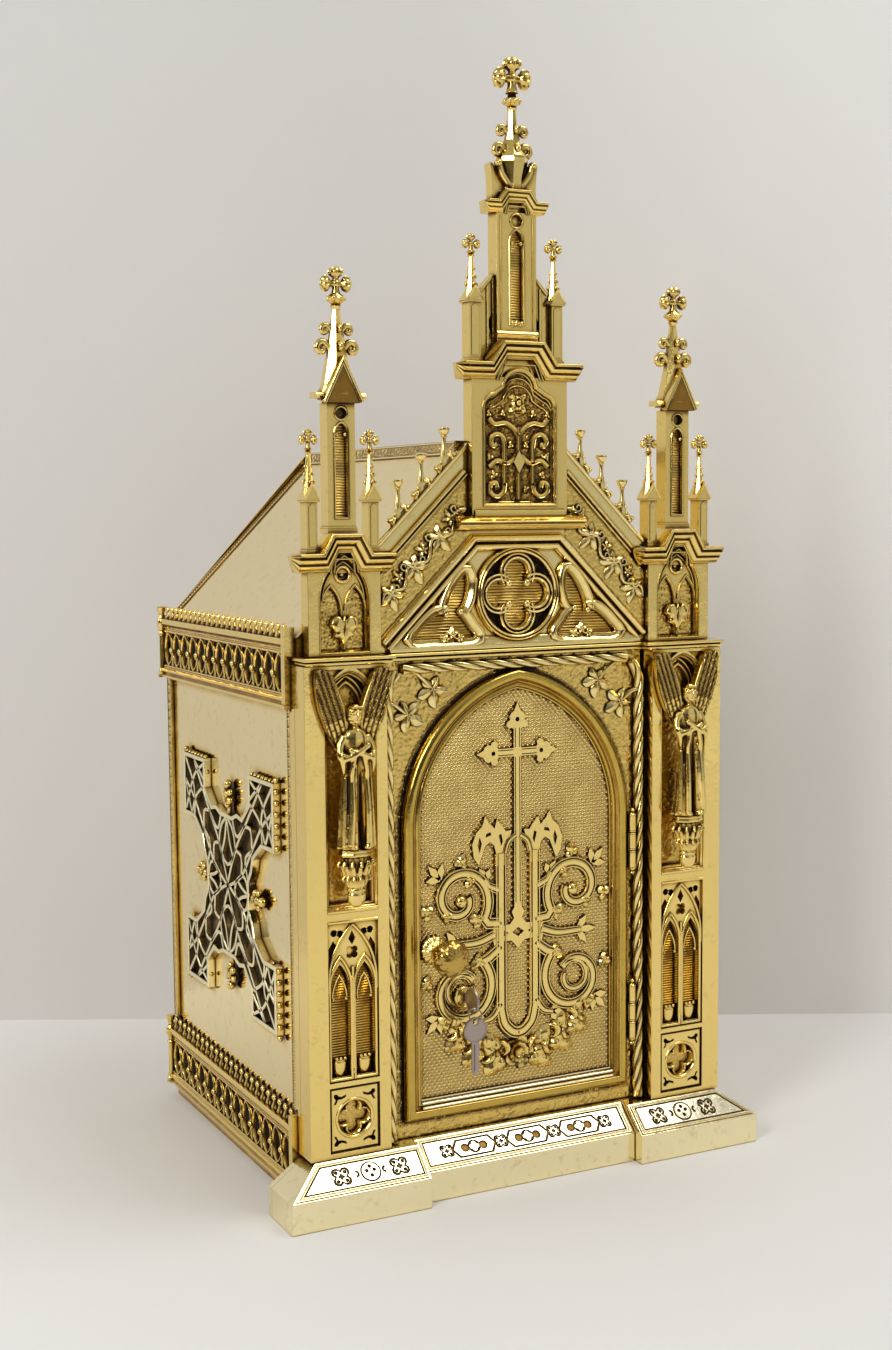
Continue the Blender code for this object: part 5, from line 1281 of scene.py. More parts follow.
def light(cx, half, foot, spring, apex, face, deep):
    """A blind lancet: its sunk outline, its roll, small cusps and its hatched ground."""
    rim = lancet(cx, half + 0.9, foot - 0.9, spring, apex + 1.1, 10)
    solids = [sweep(rim, ((1, -1.5), (0.6, 0.7), (-0.3, 0.9), (-0.9, 0.3), (-1, -1.5)), face, closed=True)]
    for s in (-1, 1):
        solids.append(bead(cx + s * half * 0.72, face + 1, spring - 1, half * 0.34, 1, 1, 8))
    ground = field(lancet(cx, half + 0.3, foot, spring, apex, 10), face + deep - 0.1, (half / 2, 0.53),
        hatch(2.1, 0.7))
    return (lancet(cx, half, foot, spring, apex, 10), face + deep), solids, ground


def finial(x, y, z, reach, low):
    """A stout cross on a stem that starts at low; three of its arms swell into ribbed buds."""
    solids = [bead(x, y, z, reach * 0.27, 1, 1, 12),
        turned(x, y, [(reach * 0.3, low), (reach * 0.2, low + (z - low) * 0.5), (reach * 0.24, z)], 12)]
    for dx, dz in ((1, 0), (0, 1), (-1, 0)):
        loops = []
        for t, r in ((0.1, 0.24), (0.3, 0.18), (0.38, 0.24), (0.46, 0.35), (0.62, 0.43), (0.8, 0.38),
                (0.93, 0.2), (1, 0.04)):
            loop = []
            for a in around(30):
                rib = reach * r * (1 + 0.13 * cos(10 * a) * (t > 0.4))
                across = rib * cos(a)
                loop.append((x + (dx * t) * reach - dz * across, y + rib * 0.9 * sin(a),
                    z + dz * t * reach + dx * across))
            loops.append(loop)
        solids.append(rings(loops))
    return solids


def crocket(x, y, z, dx, dy, reach):
    """A leaf that springs from a spire and curls over into a tight roll."""
    path = [(0.15, -0.32), (0.42, -0.02), (0.66, 0.2), (0.9, 0.16), (1, -0.06), (0.9, -0.24), (0.72, -0.24),
        (0.64, -0.1), (0.74, 0)]
    frond = curve([(x + dx * reach * u, y + dy * reach * u, z + reach * v) for u, v in path], 3)
    roll = reach * 0.18
    return tube(frond, np.linspace(roll * 1.1, roll * 0.8, len(frond)), 10)


def berries(x, y, z, reach, r, count):
    """Beads in a ring about an upright axis."""
    return [bead(x + reach * cos(a), y + reach * sin(a), z, r, 1, 1, 8) for a in around(count)]


def tower_lower():
    """The lowest stage of the tower, its panel of scrolls and its cornice."""
    whole = Extent("tower_lower")
    face, back, half, foot, top = whole.y0 + 9.5, whole.y1, 43.8, 548, 656
    head = [(-33, 556.5), (33, 556.5), (33, 632)] + arc(22, 634, 11, 0, 78, 8)
    head += arc(0, 648.5, 15.5, 8, 172, 16) + arc(-22, 634, 11, 102, 180, 8) + [(-33, 632)]
    layers = [(rect(-half, half, foot, top + 2), face), (head, 11.8)]
    solids = [sweep(head, ((3.2, -5.5), (3, -3.4), (2.2, -2.8), (1.9, -1.4), (1.3, -0.2), (0.6, -0.2),
        (0.2, 0.6), (-0.6, 0.9), (-1.4, 0.3), (-1.5, -0.8)), face, closed=True)]
    solids += cornice(0, 58.5, top, 669.5, 16.5, 18.5, 30, face, -3, back)
    base = [(0, face - back), (0, 1.6), (-3.2, 6.2), (-4.4, 8), (-5.4, 8), (-5.8, 6.8), (-6.4, 6.4),
        (-7, 7.2), (-7.8, 7), (-8.2, 5.4), (-9.4, 4.6), (-10.6, 2.4), (-11, 1), (-11, face - back)]
    solids.append(sweep([(-58, foot), (58, foot)], base, face))
    solids.append(block(-half + 2, half - 2, face - 1.6, face + 1, foot - 0.2, foot + 4.4))
    make("tower_body", [terraced(layers, back)] + solids, replaces=["tower_lower"], bevel=0.3)
    make("tower_panel_ground", field(head, 11.6, (1, 1), stipple(1.8, 4)), NICHE, sheet=True)
    nested = [sweep([(x * q, 572 + (z - 572) * q) for x, z in head[2:]],
        even((1.1, -0.8), (0.8, 0.9), (0, 1.4)), 11) for q in (0.93, 0.865)]
    panel_face = 11.4
    strip = even((2.3, -0.5), (2.3, 2.4), (1.6, 3.3), (0.9, 2.6))
    stem = curve([(13, 572), (13, 590), (13, 603), (15, 611), (21, 613), (25.5, 608.5), (23.5, 603.5),
        (20, 605.5)], 6)
    curl = curve([(13, 574), (14.5, 567), (20, 563.5), (26, 566.5), (26, 573), (21.5, 574.5), (20, 570.5)],
        6)
    brace = curve([(2, 596), (8, 591), (13, 590), (20, 592), (27, 587)], 6)
    arch = curve([(0, 612), (5, 618), (13, 622), (22, 621), (27, 625.5)], 6)
    right = [sweep(line, strip, panel_face) for line in (stem, curl, brace, arch)]
    for x, z, turn, size in ((26, 594.5, 60, 6), (22, 581, 300, 6), (27, 628.5, 80, 5), (14, 629, 100, 5),
            (7, 570, 250, 5), (7, 604, 80, 5)):
        right.append(leaf(x, z, size, turn, panel_face, 3, 3, sides=36, deep=0.55))
    middle = [sweep(curve([(0, 561), (0, 590), (0, 619)], 3), strip, panel_face)]
    middle.append(terraced([([(0, 582), (5, 591), (0, 600), (-5, 591)], panel_face - 3.6)],
        panel_face + 0.4))
    for a in around(4, EIGHTH_TURN):
        middle.append(leaf(4.6 * cos(a), 638 + 4.6 * sin(a), 7, degrees(a), panel_face, 3, 3.6, sides=36,
            deep=0.5))
    middle.append(bead(0, panel_face - 2.4, 638, 2.6, 1, 1, 12))
    make("tower_panel_scrolls", twin(right) + middle + nested, CARVED, corner=50)


def tower_upper():
    """The upper stage of the tower with its blind light and cornice."""
    whole = Extent("tower_upper")
    back = whole.y1
    shape = [(18.9, 686.4), (30.2, 670.4), (32.2, 670.4), (32.2, 717), (30, 717), (30, 725.3), (18, 738.5),
        (18, 788)]
    sunk, glass, ground = light(0, 5.6, 701, 765, 774, 11, 4.4)
    layers = [(shape + mirror(shape), 16.6), (rect(-18, 18, 686.5, 788), 11), sunk,
        (circle(0, 781.6, 4.7, 24), 14.5)]
    solids = glass + cornice(0, 29.5, 787.5, 797, 8.5, 10.8, 17, 11, 6, back)
    solids.append(torus((0, 11, 781.6), 5.6, 0.9, (0, 1, 0), 28))
    base = [(0, 12 - back), (0, 0.6), (-1.4, 2.2), (-3.4, 2.6), (-4.2, 1.6), (-6, 1.2), (-6, 12 - back)]
    solids.append(sweep([(-18.8, 695), (18.8, 695)], base, 11))
    edge = [(18.9, 738.6), (31, 725.4)]
    solids += twin([sweep(edge, even((1.2, -9), (1.2, 0.5), (0.6, 1.1)), 16),
        sweep([(14.6, 696), (14.6, 785)], even((0.6, -0.5), (0.4, 0.7)), 11),
        block(23.2, 25, 15.4, 17, 671, 730), block(18.2, 20, 14.6, 17, 687, 736)])
    solids += [leaf(dx, 700.6, 3.6, turn, 11.6, 3, 1.8, sides=24)
        for dx, turn in ((-3, 150), (0, 90), (3, 30))]
    make("tower_stage", [terraced(layers, back)] + solids, replaces=["tower_upper"], bevel=0.25)
    make("tower_stage_ground", ground, HATCHED, sheet=True)


def spire():
    """The faceted spire with its side leaves, collar, crockets and cross."""
    y = 18
    solids = [turned(0, y, [(9, 805.9), (9.4, 815), (12.6, 827), (12.8, 831), (11.6, 834), (8, 838),
        (6.4, 846), (4.6, 856), (3.4, 869)], 8, 1, pi / 8)]
    solids.append(turned(0, y, [(3, 868), (4.2, 870), (3.4, 871.4), (5.4, 873), (7.5, 875.4), (6.8, 877.4),
        (4, 879), (3.2, 881), (2.6, 886)], 20))
    solids += berries(0, y, 875.4, 6.2, 2, 8)
    for z, reach in ((838, 16), (853, 12.8)):
        for dx, dy in ((1, 0), (-1, 0), (0, -1), (0, 1)):
            solids.append(crocket(0, y, z, dx, dy, reach * (1 if dx else 0.62)))
    wing = curve([(6, 811), (12, 818), (17, 823.6), (21.4, 826.6), (20.6, 818), (20, 808), (19.8, 798),
        (17.8, 798), (15, 803), (10, 807)], 4, True)
    inner = curve([(4, 808), (8, 812), (12.6, 818.4), (14.6, 825)], 6)
    lip = ((2.4, -7), (2.2, 1.6), (1.2, 2.6), (-0.6, 2), (-1.8, 2.4), (-2.4, 1.2), (-2.4, -7))
    for s in (-1, 1):
        solids.append(terraced([(placed(wing, 0, 0, s), 15)], 24.6))
        solids.append(sweep(placed(inner, 0, 0, s), lip, 12.6))
        solids.append(bead(s * 15.6, 12.6, 826, 3.2, 0.9, 1.4, 12))
    solids += finial(0, y, 893.3, 17.4, 882)
    make("tower_spire_cast", solids, replaces=["tower_spire"], finish=CARVED, corner=40)


def pinnacle(name, node, half, eave, apex, neck, cross_z, reach):
    """A small square pinnacle: panelled shaft, gabled cap on each face, tapering spirelet and cross."""
    whole = Extent(node + "_right")
    x, y, y0, y1, low = whole.cx, whole.cy, whole.y0 + 1.8, whole.y1 - 1.8, whole.z0
    solids = [block(x - half, x + half, y0, y1, low, eave),
        block(x - half - 0.9, x + half + 0.9, y0 - 0.9, y1 + 0.9, low, low + 2.6),
        block(x - half - 1.6, x + half + 1.6, y0 - 1.5, y1 + 1.5, eave - 2.4, eave - 0.6)]
    gablet = [(x - half - 2.2, eave - 0.8), (x + half + 2.2, eave - 0.8), (x, apex)]
    solids.append(prism(gablet, y0 - 1.7, y1 + 1.7))
    solids.append(sweep([gablet[0], gablet[2], gablet[1]], ((0.8, -1), (0.4, 0.9), (-0.8, 0.5), (-0.9, -1)),
        y0 - 1.3))
    solids.append(prism([(x - half + 1.8, low + 5), (x + half - 1.8, low + 5), (x + half - 1.8, eave - 6),
        (x, eave - 3.4), (x - half + 1.8, eave - 6)], y0 - 0.5, y0 + 1))
    solids.append(turned(x, y, [(half + 1.2, eave - 0.6), (half * 0.95, apex - 2), (half * 0.62, apex + 7),
        (half * 0.36, neck - 1)], 8, 1, pi / 8))
    for dz, out, r in ((2, 0.95, 1.5), (8, 0.74, 1.25), (14, 0.6, 1)):
        solids += [bead(x + dx * half * out, y + dy * half * out, apex + dz, r, 1.2, 1, 8)
            for dx, dy in ((1, 0), (-1, 0), (0, -1))]
    solids.append(turned(x, y, [(half * 0.34, neck - 2), (half * 0.62, neck - 0.6),
        (half * 0.4, neck + 0.6), (half * 0.76, neck + 2), (half * 0.4, neck + 3.4)], 12))
    solids += finial(x, y, cross_z, reach, neck + 2)
    both(name, solids, replaces=[node], corner=40)


# ---- turrets ----
def turret():
    """A turret: its block with twin blind lights and an ivy leaf, its shaft, gablet, spire and cross."""
    whole = Extent("turret_block_right")
    cx, face, back, low, high = whole.cx, whole.y0 + 9.5, whole.y1, 505.8, 520.5
    recess = [(cx - 20.4, 444), (cx + 20.4, 444)] + arch_head(cx, 20.4, 484, 517.4, 14)
    layers = [(rect(cx - 30.6, cx + 30.6, whole.z0, low + 2), face), (recess, face + 4),
        (circle(cx, 504, 5.2, 24), face + 8.4)]
    solids = [sweep(recess, ((1.4, -4.5), (1.2, -2.4), (0.2, -1.2), (-0.3, 0.4), (-1.2, 0.4), (-1.4, -0.6)),
        face, closed=True)]
    solids.append(sweep(circle(cx, 504, 6, 30), BAR, face + 4, closed=True))
    solids.append(bead(cx, face + 7.4, 504, 2.8, 1, 1, 12))
    for s in (-1, 1):
        layers.append((lancet(cx + s * 10.3, 8.4, 445, 476, 494, 10), face + 8.4))
        rim = arch_head(cx + s * 10.3, 9, 476, 496, 10)
        solids.append(sweep([(cx + s * 10.3 + 9, 458)] + rim + [(cx + s * 10.3 - 9, 458)], THIN_BAR,
            face + 4))
    outer = arch_head(cx, 17.6, 484, 513.8, 12)
    solids.append(sweep(outer, even((0.8, -0.5), (0.4, 1)), face + 3.4))
    solids += cornice(cx, 45.2, low, high, 15, 12.8, 21, face, -1.5, back)
    half_leaf = [(0, -12), (3.4, -7), (8.2, -5.4), (7.6, -0.6), (11.4, 3.6), (9, 8.6), (4.6, 10.4),
        (1.6, 7.4), (0, 11)]
    edge = curve(half_leaf + mirror(half_leaf[1:-1]), 3, True)
    foliage = [rings([[(cx + dx * t, face + out, 461.5 + dz * t) for dx, dz in edge]
        for t, out in ((0.97, 6), (1, 0.8), (0.95, 0), (0.6, -0.9), (0.1, -0.2))]),
        tube([(cx, face - 0.3, 452), (cx, face - 0.9, 460), (cx, face - 0.4, 470)], [0.5, 0.9, 0.6], 8),
        tube([(cx, face + 4.4, 476), (cx, face + 4, 446)], 1.8, 8)]
    both("turret_cast", [terraced(layers, back)] + solids, replaces=["turret_block"], bevel=0.28)
    both("turret_foliage", foliage, finish=CARVED, corner=60)
    both("turret_ground", field(recess, face + 7.6, (0.9, 0.9), stipple(1.1, 3)), finish=GROUND, sheet=True)

    shaft = Extent("turret_shaft_right")
    front, rear, foot, eave = 11, 25, shaft.z0, 635
    y = (front + rear) / 2
    sunk, glass, ground = light(cx, 4.8, 548, 612, 619.5, front, 3.6)
    layers = [(rect(cx - 11.6, cx + 11.6, foot, eave), front), sunk,
        (circle(cx, 627.2, 4.3, 22), front + 3.2)]
    solids = glass + [torus((cx, front, 627.2), 5.1, 0.8, (0, 1, 0), 26), terraced(layers, rear)]
    solids += [block(cx - 12.6, cx + 12.6, front - 1, rear + 1, foot, foot + 3.4),
        block(cx - 12.2, cx + 12.2, front - 0.5, rear + 0.5, foot + 3.2, foot + 5)]
    ledge = [(0, -12), (0, 2.8), (-1.4, 3.4), (-2.2, 2.6), (-3, 1.4), (-4.4, 0.8), (-4.6, -12)]
    for s in (-1, 1):
        solids.append(sweep([(cx + s * 20.6, eave + 3.4), (cx + s * 13, eave + 3.4)][::s], ledge, front))
    gablet = [(cx - 16, eave + 1), (cx, 668.6), (cx + 16, eave + 1)]
    # A dark block inside the gablet: painted shade in its recess.
    both("turret_gable_ground", prism([(cx - 13, eave), (cx + 13, eave), (cx, 664)], front - 6, y),
        finish=DARK)
    solids.append(sweep(gablet, ((0.8, -6), (0.8, 0.6), (0, 1.2), (-0.9, 0.8), (-1.1, 0.1), (-1.5, 0.5),
        (-2.4, 0.3), (-2.8, -0.5), (-2.8, -6)), front - 6))
    solids.append(turned(cx, y, [(15.4, eave + 2.6), (16.4, 642), (13, 648), (8.4, 670), (5, 694),
        (3, 707)], 8, 0.86, pi / 8))
    solids.append(turned(cx, y, [(3, 706), (4.4, 708.4), (3.4, 709.8), (5.6, 711.6), (7.6, 714), (6.6, 716),
        (3.8, 718), (2.4, 720)], 18))
    solids += berries(cx, y, 714, 6.2, 1.9, 7)
    for z, reach in ((678, 16), (691.5, 12.4)):
        for dx, dy in ((1, 0), (-1, 0), (0, -1)):
            solids.append(crocket(cx, y, z, dx, dy, reach * (1 if dx else 0.6)))
    solids += finial(cx, y, 725.4, 13.3, 717)
    both("turret_spire", solids, replaces=["turret_shaft"], finish=CARVED, corner=40)
    both("turret_light_ground", ground, finish=HATCHED, sheet=True)


gable()
rake()
tower_lower()
tower_upper()
spire()
pinnacle("tower_pinnacle_cast", "tower_pinnacle", 5, 719, 729, 754, 762.5, 8.2)
turret()
for place in ("inner", "outer"):
    pinnacle(f"turret_pinnacle_{place}_cast", f"turret_pinnacle_{place}", 4.4, 562, 573, 598, 607, 8.2)


# ---- galleries and side ornament ----
def mandorla(cx, half, low, high):
    """An upright pointed oval."""
    mid = (low + high) / 2
    right = curve([(0, low), (half * 0.66, (low * 2 + mid) / 3), (half, mid),
        (half * 0.66, (high * 2 + mid) / 3), (0, high)], 4)
    return placed(right + mirror(right[1:-1]), cx)


def rail(start, end, z, tall, face, profile):
    """A level moulding whose profile gives (share of its height, projection) from its foot upwards."""
    return sweep([(start, z), (end, z)], [(u * tall, h) for u, h in reversed(profile)], face)


TOP_RAIL = ((0, -1.5), (0, 0.4), (0.08, 1.2), (0.16, 1.2), (0.2, 0.6), (0.28, 0.5), (0.34, 1.4), (0.42, 2),
    (0.5, 1.2), (0.54, 1), (0.58, 2.6), (0.64, 3.6), (0.94, 3.8), (1, 3.4), (1, -1.5))
FOOT_RAIL = ((0, -1.5), (0, 3), (0.06, 3.4), (0.2, 3.4), (0.25, 2.4), (0.32, 1.8), (0.42, 2.2), (0.5, 3.4),
    (0.62, 3.6), (0.7, 2.4), (0.74, 1.4), (0.84, 1), (0.92, 1.6), (1, 1.4), (1, -1.5))


def gallery(level):
    """A gallery of pointed ovals between bars that each carry a leafy knob, under a crest of buds."""
    whole = Extent(f"gallery_{level}_right")
    start, end, low, high = whole.y0, whole.y1, whole.z0, whole.z1 - 11.5
    wall = Extent("side_sheet_right").x1
    plate = -(wall + 4.6)
    bays = 13
    first = start + 8.5
    pitch = (end - 10.5 - first) / bays
    foot, head = low + 12, high - 14.4
    layers = [(rect(start + 1, end - 1, low + 0.4, high), plate)]
    solids = []
    lip = even((0.8, -1.5), (0.7, 0.5), (0.3, 1.3))
    for k in range(bays):
        x = first + (k + 0.5) * pitch
        oval = mandorla(x, pitch * 0.41, foot + 1.2, head + 1)
        layers.append((oval, None))
        solids.append(sweep(mandorla(x, pitch * 0.41 + 0.8, foot, head + 2.2), lip, plate, closed=True))
    for k in range(bays + 1):
        x = first + k * pitch
        spots = [[(x - 5.4, head + 2.2), (x, head - 7), (x + 5.4, head + 2.2)]]
        spots += [[(x + s * 0.9, foot + 8.6), (x + s * 1, foot + 0.2), (x + s * 4.8, foot + 0.2)][::s]
            for s in (-1, 1)]
        if k == 0:
            spots = [spots[2]]
        elif k == bays:
            spots = [spots[1]]
        layers += [(spot, None) for spot in spots]
        mid = (foot + head) / 2
        if 0 < k < bays:
            solids.append(bead(x, plate - 1.8, mid + 0.6, 2.7, 1, 0.9, 9))
            for dx, dz in ((0, 3.4), (-2.3, -1.8), (2.3, -1.8)):
                solids.append(bead(x + dx, plate - 1.2, mid + dz, 1.6, 1.1, 0.9, 7))
            solids.append(tube([(x, plate - 0.4, foot), (x, plate - 1.4, mid)], 0.9, 6))
    solids.append(rail(start + 0.7, end - 0.5, high - 12.6, 12.6, plate, TOP_RAIL))
    solids.append(rail(start + 0.6, end - 0.4, low + 0.2, 11.6, plate, FOOT_RAIL))
    solids.append(terraced(layers, plate + 1.4))
    # A dark sheet on the side wall behind the ovals: painted shade seen through the openings.
    ground = prism(rect(start + 2, end - 2, low + 1, high - 1), -(wall + 0.9), -(wall + 0.2))
    both(f"gallery_{level}_ground", sideways(ground), finish=DARK, bevel=0.1)
    buds = 24
    step = (end - start - 16) / buds
    crest = []
    for k in range(buds):
        x = start + 9 + (k + 0.5) * step
        crest.append(turned(x, plate + 1.6,
            [(3.6, high - 0.6), (3.2, high + 1.6), (1.6, high + 4.4), (1.3, high + 6), (2.7, high + 8),
            (2.9, high + 9.2), (1.9, high + 10.9), (0.5, high + 11.5)], 8, 0.8))
        crest.append(bead(x + step / 2, plate + 0.4, high + 2, 1.7, 1.1, 0.8, 7))
    both(f"gallery_{level}_crest", [sideways(s) for s in crest], finish=CARVED, corner=40)
    solids.append(block(start + 1.4, end - 1.4, plate + 0.8, -(wall + 0.5), high - 0.6, high + 2.2))
    solids.append(block(start + 0.3, start + 7.6, plate - 4.4, -(wall + 0.4), low + 0.3, high + 9))
    solids.append(block(start, start + 8.4, plate - 5.2, -(wall + 0.6), low, low + 3))
    solids.append(block(end - 8, end - 0.7, plate + 1.6, -(wall + 0.7), low + 0.6, high + 3))
    post = [(4.6, low), (4.6, low + 1.6), (3.6, low + 2.4), (4.3, low + 4.6), (3, low + 6.4),
        (2.7, low + 9), (2.7, high - 16), (4, high - 14.6), (2.9, high - 13.4), (2.9, high - 9),
        (4.4, high - 6.6), (4.7, high - 2), (4, high), (2.6, high + 2), (2.8, high + 6), (4.5, high + 8),
        (4.5, high + 10.6), (3.6, high + 11.4)]
    solids.append(turned(end - 4.8, plate - 1.4, post, 14))
    both(f"gallery_{level}_cast", [sideways(s) for s in solids], replaces=[f"gallery_{level}"], corner=42)


def side_tracery():
    """A saltire of interlaced bars over a dark ground, its arms flared to square ends, on each side wall."""
    whole = Extent("side_tracery_right")
    cx, cz = whole.cy, 234
    wall = Extent("side_sheet_right").x1
    top = -(wall + 5.6)
    bar = even((1.8, -5.2), (1.8, 0.8), (1.5, 1.2))
    thin = even((1.5, -5.2), (1.5, 0.3), (1.2, 0.6))
    arm = [(14, 60), (26, 64), (38, 62), (56, 77), (56, 101), (109, 101), (109, 48), (83, 48), (62, 34),
        (58, 22), (50, 12)]
    outline = []
    for sx, sz in ((1, 1), (1, -1), (-1, -1), (-1, 1)):
        outline += placed(arm if sx == sz else arm[::-1], cx, cz, sx, sz)
    solids = [sweep(outline[::-1], bar, top, closed=True)]
    lines = [[(0, 3), (20, 34), (44, 58), (66, 80), (84, 99)],
        [(3, 0), (34, 14), (60, 40), (84, 64), (107, 78)], [(56, 82), (72, 92), (84, 99)],
        [(90, 48), (100, 64), (107, 78)], [(58, 78), (80, 66), (92, 48)], [(58, 98), (84, 84), (107, 52)],
        [(84, 50), (84, 74), (106, 98)], [(0, 60), (14, 50), (20, 34), (10, 22), (0, 18)],
        [(0, 60), (6, 40), (14, 27)], [(50, 0), (44, 12), (34, 14), (22, 8), (17, 0)],
        [(50, 0), (34, 4), (24, 9)], [(14, 60), (24, 46), (44, 58)], [(50, 12), (44, 30), (60, 40)],
        [(20, 34), (34, 30), (34, 14)], [(44, 58), (58, 56), (60, 40)]]
    for line in lines:
        path = curve(line, 5)
        solids += [sweep(placed(path, cx, cz, sx, sz), thin, top) for sx, sz in CORNERS]
    buds = []
    for dx, dz in ((1, 0), (-1, 0), (0, 1), (0, -1)):
        reach = 50 if dx else 60
        root = (cx + dx * reach, cz + dz * reach)
        turn = degrees(atan2(dz, dx))
        stem = [(root[0] + dx * t, -(wall + 3), root[1] + dz * t) for t in (-2, 8, 18)]
        buds.append(tube(stem, 2.2, 10))
        for out, across, r in ((10, 0, 3.2), (14, 5, 3.4), (14, -5, 3.4), (19, 0, 3.8), (21, 6, 3),
                (21, -6, 3), (27.5, 0, 4.2)):
            buds.append(bead(root[0] + dx * out - dz * across, -(wall + 4.6), root[1]
                + dz * out + dx * across, r, 1, 0.9, 9))
        buds.append(leaf(root[0] + dx * 17, root[1] + dz * 17, 8.5, turn, -(wall + 1.8), 3, 4, sides=36))
    for sx, sz in CORNERS:
        for k in range(7):
            buds.append(bead(cx + sx * (58 + k * 8.2), -(wall + 3.6), cz + sz * 103.2, 2.7, 0.9, 1, 7))
            buds.append(bead(cx + sx * 111, -(wall + 3.6), cz + sz * (50 + k * 9.2), 2.7, 1, 1, 7))
        buds += [bead(cx + sx * x, -(wall + 3.4), cz + sz * z, 2.3, 1, 1, 7)
            for x, z in ((55, 91), (99, 46.4))]
    ground = terraced([(outline, -(wall + 0.9))], -(wall + 0.3))
    both("side_tracery_bars", [sideways(s) for s in solids], finish=RUBBED, replaces=["side_tracery"],
        corner=30)
    both("side_tracery_buds", [sideways(s) for s in buds], finish=CARVED, corner=50)
    both("side_tracery_ground", sideways(ground), finish=DARK)


def knurled_strips():
    """Knurled strips down the corners of the side walls and along the edge of the flat ridge."""
    for name in ("front", "rear"):
        strip = Extent(f"trim_{name}_right")
        if name == "front":
            strip.y0, strip.y1 = strip.y0 + 9.6, strip.y1 + 9.6
        plate = block(strip.x0, strip.x1 - 0.8, strip.y0, strip.y1, strip.z0, strip.z1)
        ribs = rect(strip.y0 + 1, strip.y1 - 1, strip.z0 + 1, strip.z1 - 1)
        edge = [sideways(sweep([(y, strip.z0), (y, strip.z1)], even((0.5, -0.5), (0.4, 0.7)),
            -(strip.x1 - 0.7))) for y in (strip.y0 + 0.5, strip.y1 - 0.5)]
        both(f"trim_{name}_plate", [plate] + edge, replaces=[f"trim_{name}"], bevel=0.2)
        both(f"trim_{name}_knurls", sideways(field(ribs, -(strip.x1 - 0.9), (0.8, 0.6),
            knurls(3.2, 1.3, 0.9))), finish=KNURLED, sheet=True)
    ridge = Extent("roof_ridge")
    low, high = 597.4, ridge.z1 - 0.6
    band = rect(ridge.y0 + 1, ridge.y1 - 1, low + 1.6, high - 1.4)
    rows = sideways(field(band, -(ridge.x1 + 0.15), (0.66, 0.44), knurls(2.4, 1.2, 0.8)))
    edges = [sideways(sweep([(ridge.y0 + 0.4, z), (ridge.y1 - 0.4, z)], even((0.7, -0.5), (0.5, 1.1)),
        -ridge.x1)) for z in (low + 0.8, high - 0.4)]
    both("ridge_knurls", rows, finish=ENGRAVED, sheet=True)
    both("ridge_fillets", edges, finish=RUBBED)


def roof_border():
    """A border of two fillets and a row of beads up each slope of the roof, along its rear edge."""
    run, rise = 139, 142
    eave_x, eave_z = 188.8, 455.6
    slope, edge = hypot(run, rise), Extent("roof_ridge").y1 - 12
    s, c = rise / slope, run / slope
    border = [block(0.4, slope - 3, y, y + 1, 0, 1.1) for y in (edge, edge + 9)]
    border += [bead(4 + k * 3.2, edge + 5, 0, 1.2, 0.8, 1, 7) for k in range(int((slope - 10) / 3.2))]
    laid = []
    for verts, faces in border:
        x, y, z = np.array(verts, float).T
        laid.append((np.stack([eave_x - x * c + z * s, y, eave_z + x * s + z * c], 1), faces))
    both("roof_border_rear", laid, finish=RUBBED)


def behind(solid, plane):
    """Turns work drawn from the front on y = plane so that it faces the rear."""
    verts = np.array(solid[0], float)
    verts[:, 1] = 2 * plane - verts[:, 1]
    return verts, [tuple(face[::-1]) for face in solid[1]]


def rear():
    """Moulded rails and a row of rivets on the back."""
    for level in ("upper", "lower"):
        whole = Extent(f"back_moulding_{level}")
        plane = whole.y0 + 1.2
        bar = sweep([(whole.x0, whole.z0), (whole.x1, whole.z0)],
            [(u * 9, h * 0.9) for u, h in reversed(FOOT_RAIL)], plane)
        make(f"back_rail_{level}", [behind(bar, plane),
            block(whole.x0, whole.x1, whole.y0, plane, whole.z0, whole.z1)],
            replaces=[f"back_moulding_{level}"], corner=42)
    face = Extent("back_sheet").y1
    spots = [(s * 180, z) for s in (-1, 1) for z in range(90, 390, 58)]
    spots += [(s * x, 604.4 - x * 1.02) for s in (-1, 1) for x in (60, 100, 140)]
    spots += [(x, 600.5) for x in (-36, 0, 36)]
    make("back_rivets", [bead(x, face, z, 2.6, 1, 0.45) for x, z in spots])


gallery("upper")
gallery("lower")
side_tracery()
knurled_strips()
roof_border()
rear()


# ---- ledge, rope and ivy ----
def twisted(path, radius, strand, turn, start=0):
    """Strands laid round one another along a path in the x-z plane at one depth."""
    p = np.array(path, float)
    along = np.gradient(p, axis=0)
    along /= np.linalg.norm(along, axis=1)[:, None]
    run = np.concatenate([[0], np.cumsum(np.linalg.norm(np.diff(p, axis=0), axis=1))])
    side = np.stack([-along[:, 2], np.zeros(len(p)), along[:, 0]], 1)
    out = np.array((0, -1, 0))
    solids = []
    for q in range(3):
        a = start + 2 * pi * (run / turn + q / 3)
        centre = p + radius * (side * np.cos(a)[:, None] + out * np.sin(a)[:, None])
        solids.append(tube(centre, strand, 9))
    return solids


def along_line(a, b, step):
    """Points from a to b, about step apart."""
    a, b = np.array(a, float), np.array(b, float)
    count = max(2, int(np.linalg.norm(b - a) / step))
    return [tuple(a + (b - a) * i / count) for i in range(count + 1)]


